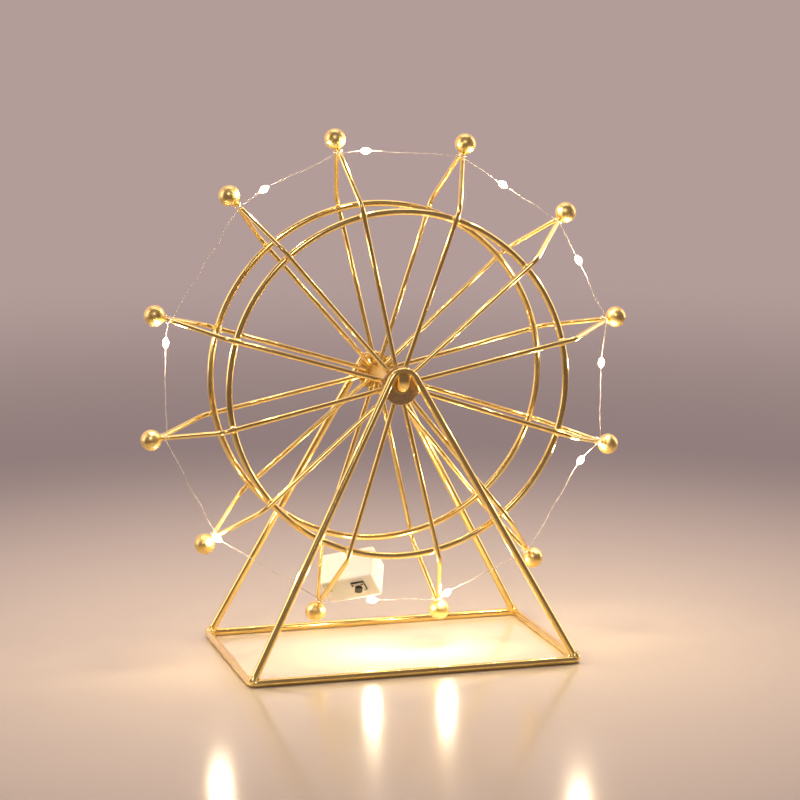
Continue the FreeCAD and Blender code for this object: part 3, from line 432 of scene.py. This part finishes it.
# Necks in their order along the string, each with the light on the run before it: its share
# of the run, and how far the run sags there towards the axle.  A share of 1 puts the light in
# front of the neck itself.
STRING_ROUTE = [
    (8, None, 0.0),
    (9, 1.0, 0.0),
    (10, None, 0.0),
    (11, 0.79, -1.3 * MM),
    (12, None, 0.0),
    (1, 0.27, -2.4 * MM),
    (2, 0.22, -1.8 * MM),
    (3, 0.41, 0.5 * MM),
    (4, 0.39, -0.2 * MM),
    (5, 0.34, 2.2 * MM),
    (6, 0.20, 3.6 * MM),
    (7, 0.885, 1.6 * MM),
]
# the string ends in this one, on its way back to the first neck
LAST_LIGHT = (8, 0.57, 0.3 * MM)

# the lead's two points in its hole, behind the case's face and before it
LEAD_INSIDE = 4.3 * MM
LEAD_OUTSIDE = 1.7 * MM
CORD_STEP = 0.6 * MM

# Bends of the string: their seed, how many per metre, how far they keep from a place that
# holds it, and over what length they grow
BEND_SEED = 3
BENDS = 80
STILL_LENGTH = 4 * MM
BEND_GROWTH = 10 * MM


def beside_fork(out, half_thickness):
    """How far from the middle plane a thing must pass the sloping wires of a fork."""
    angle = sizes().neck_slope
    half_wire = sizes().spoke_wire / 2
    neck = BALL_INSIDE + half_wire * math.sin(angle) - out
    clear = half_wire + half_thickness + sizes().cord_gap
    return half_wire * math.cos(angle) + neck * math.tan(angle) + clear / math.cos(angle)


def winding(number, light_in_front):
    """One turn of the string round a neck, from its front corner to its front corner."""
    half_cord = sizes().cord_diameter / 2
    across = sizes().spoke_wire / 2 + half_cord + sizes().cord_gap
    start = BALL_INSIDE - sizes().wrap_drop
    pitch = sizes().wrap_pitch
    # the runs from neck to neck are chords, so they cross the wires nearer to the axle
    dip = across * math.tan(sizes().run_slope)
    front_thing = sizes().drop_diameter / 2 if light_in_front else half_cord
    first = -beside_fork(start - dip, front_thing)
    # the string leaves over itself
    last = first - sizes().cord_diameter * 2
    last = min(last, -beside_fork(start - pitch - dip, half_cord))
    turn = [
        (across, first, start),
        (across, 0, start - pitch / 6),
        (across, beside_fork(start - pitch / 2, half_cord), start - pitch / 3),
        (-across, beside_fork(start - pitch, half_cord), start - pitch * 2 / 3),
        (-across, 0, start - pitch * 5 / 6),
        (-across, last, start - pitch),
    ]
    return [spoke_point(number, *corner) for corner in turn]


def point_on_run(start, end, share, sag):
    """Point on a run of the string, pulled towards the axle."""
    point = start + (end - start) * share
    inward = Vector((AXIS.x - point.x, 0, AXIS.z - point.z)).normalized()
    return point + inward * sag


def string_route():
    """The string's corner points, and where its lights hang."""
    hole = (sizes().lead_hole_right, sizes().lead_hole_up)
    inside = case_point(hole[0], LEAD_INSIDE, hole[1])
    outside = case_point(hole[0], -LEAD_OUTSIDE, hole[1])
    neck = BALL_INSIDE - sizes().wrap_drop
    beside = spoke_point(8, -sizes().lead_side, winding(8, False)[0].y, neck)
    points = [inside, outside, beside]
    lights = []
    for number, share, sag in STRING_ROUTE:
        turn = winding(number, share == 1.0)
        if share == 1.0:
            arriving = (turn[0] - points[-1]).normalized()
            before_neck = sizes().spoke_wire * 3 / 4
            lights.append(turn[0] - arriving * before_neck)
        elif share:
            lights.append(point_on_run(points[-1], turn[0], share, sag))
            points.append(lights[-1])
        points.extend(turn)
    number, share, sag = LAST_LIGHT
    lights.append(point_on_run(points[-1], winding(number, False)[0], share, sag))
    onward = (lights[-1] - points[-1]).normalized()
    points.append(lights[-1] + onward * sizes().drop_length / 4)
    return points, lights


def steadied(points):
    """Adds a point on a long straight run near a corner whose other run is short."""
    steady = [points[0]]
    for before, here, after in zip(points, points[1:], points[2:]):
        arriving = here - before
        leaving = after - here
        if leaving.length < arriving.length / 2:
            steady.append(here - arriving.normalized() * leaving.length)
        steady.append(here)
        if arriving.length < leaving.length / 2:
            steady.append(here + leaving.normalized() * arriving.length)
    steady.append(points[-1])
    return steady


def even_steps(line, step):
    """The same line with its points a steady step apart."""
    stepped = [line[0]]
    left = step
    for start, end in zip(line, line[1:]):
        run = (end - start).length
        while run > left:
            start = start + (end - start) * (left / run)
            run -= left
            stepped.append(start)
            left = step
        left -= run
    return stepped


def strung(line, held):
    """Small bends that hands leave in thin wire, fading out where it is held."""
    noise.seed_set(BEND_SEED)
    bent = []
    for place in line:
        free = min((place - fixed).length for fixed in held)
        growth = min(1.0, max(0.0, (free - STILL_LENGTH) / BEND_GROWTH))
        bent.append(place + noise.noise_vector(place * BENDS) * sizes().string_sway * growth)
    return bent


def twisted(line, offset, lay):
    """Two strands twisted about a line, each at an offset from it."""
    pair = ([], [])
    side = Vector((0, 1, 0))
    step = (line[1] - line[0]).length
    for index, place in enumerate(line):
        ahead = line[min(index + 1, len(line) - 1)] - line[max(index - 1, 0)]
        along = ahead.normalized()
        side = (side - along * side.dot(along)).normalized()
        turned = Matrix.Rotation(2 * math.pi * index * step / lay, 3, along) @ side
        pair[0].append(place + turned * offset)
        pair[1].append(place - turned * offset)
    return pair


# ---------------------------------------------------------------- gilding

class ORNAMENT_OT_gilding(bpy.types.Operator):
    """Gives the wires, the hub and the balls their plating"""

    bl_idname = "ornament.gilding"
    bl_label = "Gild the frame"

    def execute(self, context):
        wire = gilt_material("gilt_wire", roughness=0.16, grain=1400, depth=0.006 * MM)
        satin = gilt_material("gilt_ball", roughness=0.33, grain=3000, depth=0.015 * MM)
        for node in STAND_WIRES + WHEEL_WIRES:
            dress(node, wire)
        for node in ["hub_tube", "hub_disc_rear"] + ["ball_%d" % number for number in SPOKES]:
            dress(node, satin)
        dress("hub_disc_front", self.stamped())
        return {"FINISHED"}

    def stamped(self):
        """Plating over rough stamped sheet, mostly in painted shade: a dark colour that stands in
        for the dark front reflected in the front disc, with specks of the gilt's shade.
        """
        shader = Shader("gilt_disc_painted_shade")
        shader.plain(Metallic=1.0)
        # painted shade: mostly the dark colour of the reflected dark front, with lighter specks;
        # the rear disc keeps the satin gilt
        specks = shader.spread(shader.noise(2400, 5), start=0.44, end=0.62)
        shader.drive("Base Color", shader.blend(specks, colours().front_disc_painted_shade, colours().gilt_shade))
        shader.drive("Roughness", shader.spread(specks, 0.5, 0.3, start=0, end=1))
        shader.bump(shader.noise(1800, 4), 0.04 * MM)
        return shader.material


# Half sizes of the weld puddles on the wheel, across, front to back and outward, as shares of
# the spoke's radius.  The hub's and the rims' third one is a size of its own.
HUB_PUDDLE = (1.35, 0.75)
RIM_PUDDLE = (1.5, 1.35)
NECK_PUDDLE = (1.25, 1.9, 0.95)
# Half sizes of an arch's puddle, in metres
ARCH_PUDDLE = (3.0 * MM, 2.7 * MM, 1.7 * MM)
# Half sizes of a foot's welds, the last along them, as shares of half the foot weld's width
FOOT_COLLAR = (0.80, 0.80, 1.1)
FOOT_BEAD = (0.52, 0.62, 0.85)

# The hub's puddles lie at this share of the disc's radius, and out of its face by this share
# of the spoke's radius
HUB_PUDDLE_REACH = 0.84
HUB_PUDDLE_DEPTH = 0.45
NECK_RISE = 0.25 * MM
ARCH_DROP = 1.1 * MM
COLLAR_RISE = 0.3 * MM
BEAD_RISE = 0.35 * MM
# From a leg's foot, along the loop's long run and its short one
BEAD_REACHES = (1.5 * MM, 1.7 * MM)
FLOOR_GAP = 0.1 * MM


class ORNAMENT_OT_welds(bpy.types.Operator):
    """Adds the welds of the hub, the rims, the balls, the arches and the feet"""

    bl_idname = "ornament.welds"
    bl_label = "Weld the joints"

    def execute(self, context):
        self.weld = gilt_material("gilt_weld", roughness=0.24, grain=900, depth=0.05 * MM)
        self.radius = sizes().spoke_wire / 2
        self.hub_welds()
        self.rim_welds()
        self.neck_welds()
        self.arch_welds()
        self.foot_welds()
        return {"FINISHED"}

    def hub_welds(self):
        """A puddle under each spoke's end, on the inner face of its disc."""
        puddles = bmesh.new()
        radii = (*scaled(HUB_PUDDLE, self.radius), sizes().hub_weld / 2)
        for name, side in SIDES.items():
            low, high = corners("hub_disc_" + name)
            inner = low.y if side > 0 else high.y
            toward_back = inner - side * self.radius * HUB_PUDDLE_DEPTH
            out = (high.z - low.z) / 2 * HUB_PUDDLE_REACH
            for number in SPOKES:
                place = spoke_point(number, 0, toward_back, out)
                add_blob(puddles, spoke_axes(number, side), place, radii, seed=number * side)
        new_piece("hub_welds", puddles, self.weld, "wheel")

    def rim_welds(self):
        """A puddle where each spoke crosses the outside of its rim."""
        puddles = bmesh.new()
        radii = (*scaled(RIM_PUDDLE, self.radius), sizes().rim_weld / 2)
        for name, side in SIDES.items():
            low, high = corners("rim_" + name)
            wire = high.y - low.y
            ring = (high.x - low.x - wire) / 2
            outer = high.y if side > 0 else low.y
            for number in SPOKES:
                place = spoke_point(number, 0, outer, ring)
                add_blob(puddles, spoke_axes(number, side), place, radii,
                         lump=0.2, seed=number * 1.7)
        new_piece("rim_welds", puddles, self.weld, "wheel")

    def neck_welds(self):
        """A puddle between the two wires of a fork, under its ball."""
        puddles = bmesh.new()
        radii = scaled(NECK_PUDDLE, self.radius)
        for number in SPOKES:
            place = spoke_point(number, 0, 0, BALL_INSIDE + NECK_RISE)
            add_blob(puddles, spoke_axes(number, 1), place, radii, seed=number * 3.1)
        new_piece("neck_welds", puddles, self.weld, "wheel")

    def arch_welds(self):
        """A puddle under each arch, on the end of the axle that is bent up against it."""
        puddles = bmesh.new()
        low, high = corners("axle")
        reach = (high.y - low.y) / 2 - (high.x - low.x) / 2
        for side in SIDES.values():
            place = Vector((AXIS.x, side * reach, high.z - ARCH_DROP))
            add_blob(puddles, Matrix.Identity(3), place, ARCH_PUDDLE, lump=0.16, seed=side)
        new_piece("arch_welds", puddles, self.weld, "stand")

    def foot_welds(self):
        """A collar round each leg's foot and a bead from it onto both runs of the loop."""
        puddles = bmesh.new()
        high = corners("foot_welds")[1]
        half = sizes().foot_weld / 2
        for number, (side_x, side_y) in enumerate(FOUR_CORNERS):
            foot = Vector((side_x * (high.x - half), side_y * (high.y - half), high.z - half))
            top = AXIS + Vector((0, side_y * sizes().leg_top, 0))
            leg = (top - foot).normalized()
            collar = foot + leg * COLLAR_RISE
            add_blob(puddles, facing(leg), collar, scaled(FOOT_COLLAR, half),
                     lump=0.2, seed=number * 2.3)
            runs = (Vector((-side_x, 0, 0)), Vector((0, -side_y, 0)))
            for along, reach in zip(runs, BEAD_REACHES):
                bead = foot + along * reach + Vector((0, 0, BEAD_RISE))
                add_blob(puddles, facing(along), bead, scaled(FOOT_BEAD, half),
                         lump=0.28, seed=number * 5.1 + reach / MM)
        for vert in puddles.verts:
            vert.co.z = max(vert.co.z, FLOOR_GAP)
        lumps = new_piece("foot_lumps", puddles, self.weld, "stand")
        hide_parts("foot_welds")


# ---------------------------------------------------------------- light string

# watts of one drop's lamp, and how brightly the drop itself shines
LAMP_POWER = 0.16
GLOW_LEAST, GLOW_MOST = 0.6, 9.0
CHIP_GLOW = 8.0


class ORNAMENT_OT_light_string(bpy.types.Operator):
    """Winds the twin copper string round the necks and hangs its ten lights"""

    bl_idname = "ornament.light_string"
    bl_label = "Hang the light string"

    def execute(self, context):
        points, lights = string_route()
        route = curve_mesh("string_route", "NURBS", [steadied(points)])
        line = [vert.co.copy() for vert in route.vertices]
        bpy.data.meshes.remove(route)
        lead = points[:3]
        necks = [spoke_point(number, 0, 0, BALL_INSIDE) for number in SPOKES]
        line = strung(even_steps(line, CORD_STEP), lights + lead + necks)
        self.strands(line)
        self.drops(line, lights)
        dress("led_chips", self.chip())
        return {"FINISHED"}

    def strands(self, line):
        """Two lacquered wires twisted about each other, pressed a little together."""
        radius = sizes().cord_diameter / 4
        pair = twisted(line, radius * 0.96, sizes().cord_lay)
        mesh = curve_mesh("string_strands", "POLY", pair, radius)
        copper = Shader("string_copper")
        copper.plain(Metallic=0.1, Roughness=0.38, Coat_Weight=0.6, Coat_Roughness=0.1)
        copper.mottle(copper.noise(150), colours().copper, shaded(colours().copper, 0.82))
        piece = place_piece("string_strands", mesh, copper.material, "wheel")
        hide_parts("led_wire")

    def drops(self, line, lights):
        """A drop on the string at each light, and a lamp in it."""
        beads = bmesh.new()
        beads.verts.layers.float.new("glow")
        for number, light in enumerate(lights):
            nearest = min(range(1, len(line) - 1),
                          key=lambda index: (line[index] - light).length_squared)
            along = (line[nearest + 1] - line[nearest - 1]).normalized()
            shift = Matrix.Translation(line[nearest]) @ facing(along).to_4x4()
            bmesh.ops.transform(beads, matrix=shift, verts=self.drop(beads, number))
            self.lamp(number, line[nearest])
        piece = new_piece("resin_drops", beads, self.resin(), "wheel")
        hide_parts("led_drops")

    def drop(self, beads, number):
        """One uneven drop along +Z, which shines most in its middle."""
        radius = sizes().drop_diameter / 2
        half = sizes().drop_length / 2
        glow = beads.verts.layers.float["glow"]
        made = bmesh.ops.create_uvsphere(beads, u_segments=24, v_segments=18, radius=1.0)
        for vert in made["verts"]:
            from_middle = abs(vert.co.z)
            vert[glow] = max(0.0, 1 - from_middle) ** 1.5
            lump = 1 + 0.07 * noise.noise(vert.co * 1.6 + Vector((number * 4.3, 0, 0)))
            # the ends run out along the string
            taper = max(0.0, 1 - from_middle ** 2.2) ** 0.35
            width = radius * lump * taper
            vert.co = Vector((vert.co.x * width, vert.co.y * width, vert.co.z * half))
        return made["verts"]

    def lamp(self, number, place):
        """Warm light of one drop; it turns with the wheel."""
        light = bpy.data.lights.new("light_%d" % number, "POINT")
        light.energy = LAMP_POWER
        light.color = colours().lamplight
        # wider than the drop, which would otherwise keep its light in
        light.shadow_soft_size = sizes().drop_diameter * 0.9
        lamp = bpy.data.objects.new(light.name, light)
        lamp.location = place
        lamp.visible_camera = False
        bpy.context.scene.collection.objects.link(lamp)
        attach(lamp, "wheel")

    def resin(self):
        """Clear resin, full of light round the chip and clearer at its ends."""
        shader = Shader("resin")
        shader.plain(Base_Color=(*colours().resin, 1), Roughness=0.12, IOR=1.5,
                     Transmission_Weight=0.7, Emission_Color=(*colours().glow, 1))
        lit = shader.node("ShaderNodeAttribute", attribute_name="glow")
        strength = shader.spread(lit.outputs["Fac"], GLOW_LEAST, GLOW_MOST, start=0, end=1)
        shader.drive("Emission Strength", strength)
        shader.bump(shader.noise(500, 2), 0.02 * MM)
        return shader.material

    def chip(self):
        """Speckled phosphor over the chips."""
        shader = Shader("phosphor")
        phosphor = colours().phosphor
        shader.mottle(shader.noise(4000, 2), phosphor, shaded(phosphor, 0.85))
        shader.plain(Roughness=0.5, Emission_Color=(*colours().glow, 1),
                     Emission_Strength=CHIP_GLOW)
        return shader.material


# ---------------------------------------------------------------- battery case

# Half sizes of a post's head, and how far its middle lies under the cover's front
POST_HEAD = (0.56 * MM, 0.3 * MM, 0.56 * MM)
POST_SINK = 0.16 * MM


class ORNAMENT_OT_battery_case(bpy.types.Operator):
    """Finishes the battery case, its lid, switch, board, cells and contacts"""

    bl_idname = "ornament.battery_case"
    bl_label = "Finish the battery case"

    def execute(self, context):
        shell = plastic_material("case_plastic", colours().case,
                                 roughness=0.42, depth=0.02 * MM)
        shell.plain(Subsurface_Weight=0.35, Subsurface_Radius=(1.0, 0.75, 0.5),
                    Subsurface_Scale=1.5 * MM)
        dress("battery_case", shell.material)
        dress("battery_lid", shell.material)
        black = plastic_material("switch_black", colours().black,
                                 roughness=0.4, depth=0.01 * MM)
        dress("switch_body", black.material)
        dress("switch_button", black.material)
        self.posts(black.material)
        cover = steel_material("switch_steel", colours().steel,
                               roughness=0.55, stretch=(1, 1, 6))
        dress("switch_cover", cover)
        board = plastic_material("board_mask", colours().board,
                                 roughness=0.25, depth=0.008 * MM)
        dress("circuit_board", board.material)
        cell = steel_material("cell_steel", colours().nickel,
                              roughness=0.16, stretch=(6, 1, 1))
        for number in range(1, 4):
            dress("button_cell_%d" % number, cell)
        spring = steel_material("contact_metal", colours().nickel,
                                roughness=0.26, stretch=(1, 6, 1))
        for side in ("left", "right"):
            dress("contact_" + side, spring)
        return {"FINISHED"}

    def posts(self, material):
        """Black heads of the four posts that hold the switch's cover."""
        heads = bmesh.new()
        right = sum(span("switch_button", CASE_RIGHT)) / 2 - CASE_FACE.dot(CASE_RIGHT)
        up = sum(span("switch_button", CASE_UP)) / 2 - CASE_FACE.dot(CASE_UP)
        front = span("switch_cover", CASE_BACK)[0] - CASE_FACE.dot(CASE_BACK)
        apart = sizes().post_spacing / 2
        for side_x, side_z in FOUR_CORNERS:
            place = case_point(right + side_x * apart, front + POST_SINK, up + side_z * apart)
            add_blob(heads, CASE_TURN, place, POST_HEAD, lump=0.05)
        new_piece("switch_posts", heads, material, "wheel")


# ---------------------------------------------------------------- stage

FLOOR_RADIUS = 14.0

# Distances from the ornament, in metres, over which the lit floor fades into one that only
# shows its colour, and over which that colour fades into the backdrop's
FADE_START, FADE_END = 0.10, 0.55
FOOT_START, FOOT_END = 0.50, 1.4

# Name, place, width and height in metres, watts and colour of each soft box
SOFT_BOXES = [
    ("soft_box_left", (-1.3, 0.25, 0.55), (0.45, 1.3), 4.2, (1.0, 0.95, 0.90)),
    ("soft_box_right", (1.3, 0.25, 0.55), (0.45, 1.3), 4.2, (1.0, 0.95, 0.90)),
    ("soft_box_top", (0.1, 0.3, 1.5), (1.2, 0.5), 3.6, (1.0, 0.97, 0.95)),
    ("front_fill", (-0.5, -1.5, 1.1), (0.5, 0.5), 4.0, (1.0, 0.97, 0.96)),
]

# Turned to the right of straight ahead, tipped up from looking down, and rolled a little
CAMERA_PLACE = (-0.3306, -1.2410, 0.3336)
CAMERA_TURN = math.radians(-15.16)
CAMERA_TILT = math.radians(90 - 9.574)
CAMERA_ROLL = -0.0048
FOCAL_LENGTH = 128.57
SENSOR_WIDTH = 36.0


class ORNAMENT_OT_stage(bpy.types.Operator):
    """Sets the floor, the soft lights and the camera"""

    bl_idname = "ornament.stage"
    bl_label = "Set the stage"

    def execute(self, context):
        self.floor(context.scene)
        self.world(context.scene)
        self.lights(context.scene)
        self.camera(context.scene)
        context.scene.view_settings.view_transform = "Standard"
        return {"FINISHED"}

    def floor(self, scene):
        """A wide round floor under the ornament."""
        disc = bmesh.new()
        bmesh.ops.create_circle(disc, cap_ends=True, segments=96, radius=FLOOR_RADIUS)
        mesh = bpy.data.meshes.new("studio_floor")
        disc.to_mesh(mesh)
        disc.free()
        mesh.materials.append(self.floor_material())
        floor = bpy.data.objects.new("studio_floor", mesh)
        scene.collection.objects.link(floor)

    def floor_material(self):
        """Pale and polished round the ornament, and part of the backdrop further off."""
        shader = Shader("studio_floor")
        shader.plain(Base_Color=(*colours().floor, 1), Roughness=0.16)
        distance = shader.node("ShaderNodeVectorMath", operation="LENGTH")
        shader.link(shader.coordinates(), distance.inputs[0])
        far = shader.ramp(distance.outputs["Value"], FADE_START, FADE_END)
        foot = shader.ramp(distance.outputs["Value"], FOOT_START, FOOT_END)
        rays = shader.node("ShaderNodeLightPath")
        seen = shader.node("ShaderNodeMath", operation="MAXIMUM")
        shader.link(rays.outputs["Is Camera Ray"], seen.inputs[0])
        shader.link(rays.outputs["Is Glossy Ray"], seen.inputs[1])
        amount = shader.node("ShaderNodeMath", operation="MULTIPLY")
        shader.link(far, amount.inputs[0])
        shader.link(seen.outputs["Value"], amount.inputs[1])
        glow = shader.node("ShaderNodeEmission")
        tone = shader.blend(foot, colours().backdrop_foot, colours().backdrop)
        shader.link(tone, glow.inputs["Color"])
        shader.link(shader.by_depth(shader.coordinates()), glow.inputs["Strength"])
        mix = shader.node("ShaderNodeMixShader")
        shader.link(amount.outputs["Value"], mix.inputs["Fac"])
        shader.link(shader.principled.outputs["BSDF"], mix.inputs[1])
        shader.link(glow.outputs["Emission"], mix.inputs[2])
        output = shader.tree.nodes["Material Output"]
        shader.link(mix.outputs["Shader"], output.inputs["Surface"])
        return shader.material

    def world(self, scene):
        """The room: the backdrop's colour where it is seen, and shaded in the metal."""
        world = bpy.data.worlds.new("studio_world")
        world.use_nodes = True
        nodes = Nodes(world.node_tree)
        background = world.node_tree.nodes["Background"]
        background.inputs["Color"].default_value = (*colours().backdrop, 1)
        place = nodes.node("ShaderNodeTexCoord").outputs["Generated"]
        nodes.link(nodes.by_depth(place), background.inputs["Strength"])
        scene.world = world

    def lights(self, scene):
        """Tall soft boxes at both sides, one overhead and a small fill at the front."""
        for name, place, (width, height), power, tint in SOFT_BOXES:
            light = bpy.data.lights.new(name, "AREA")
            light.shape = "RECTANGLE"
            light.size = width
            light.size_y = height
            light.energy = power
            light.color = tint
            lamp = bpy.data.objects.new(name, light)
            lamp.location = place
            aim = AXIS - Vector(place)
            lamp.rotation_euler = aim.to_track_quat("-Z", "Y").to_euler()
            scene.collection.objects.link(lamp)

    def camera(self, scene):
        """A long lens at the front, a little to the left and above."""
        lens = bpy.data.cameras.new("camera")
        lens.sensor_width = SENSOR_WIDTH
        lens.lens = FOCAL_LENGTH
        lens.clip_start = 0.05
        lens.clip_end = 50.0
        camera = bpy.data.objects.new("camera", lens)
        turn = Matrix.Rotation(CAMERA_TURN, 4, "Z")
        tilt = Matrix.Rotation(CAMERA_TILT, 4, "X")
        roll = Matrix.Rotation(CAMERA_ROLL, 4, "Z")
        place = Matrix.Translation(CAMERA_PLACE)
        camera.matrix_world = place @ turn @ tilt @ roll
        scene.collection.objects.link(camera)
        scene.camera = camera


# ---------------------------------------------------------------- panel and run

STEPS = [ORNAMENT_OT_stage, ORNAMENT_OT_light_string, ORNAMENT_OT_gilding,
         ORNAMENT_OT_welds, ORNAMENT_OT_battery_case]


class ORNAMENT_PT_panel(bpy.types.Panel):
    """Shows the ornament's steps, sizes and colours in the sidebar"""

    bl_idname = "ORNAMENT_PT_panel"
    bl_label = "Ferris wheel ornament"
    bl_space_type = "VIEW_3D"
    bl_region_type = "UI"
    bl_category = "Ornament"

    def draw(self, context):
        for step in STEPS:
            self.layout.operator(step.bl_idname)
        for group in (context.scene.ornament_sizes, context.scene.ornament_colours):
            for name in group.__annotations__:
                self.layout.prop(group, name)


CLASSES = [OrnamentSizes, OrnamentColours, *STEPS, ORNAMENT_PT_panel]


def register():
    for item in CLASSES:
        bpy.utils.register_class(item)
    bpy.types.Scene.ornament_sizes = bpy.props.PointerProperty(type=OrnamentSizes)
    bpy.types.Scene.ornament_colours = bpy.props.PointerProperty(type=OrnamentColours)


def unregister():
    del bpy.types.Scene.ornament_colours
    del bpy.types.Scene.ornament_sizes
    for item in reversed(CLASSES):
        bpy.utils.unregister_class(item)


def main():
    register()
    bpy.ops.ornament.stage()
    bpy.ops.ornament.light_string()
    bpy.ops.ornament.gilding()
    bpy.ops.ornament.welds()
    bpy.ops.ornament.battery_case()


if __name__ == "__main__":
    main()
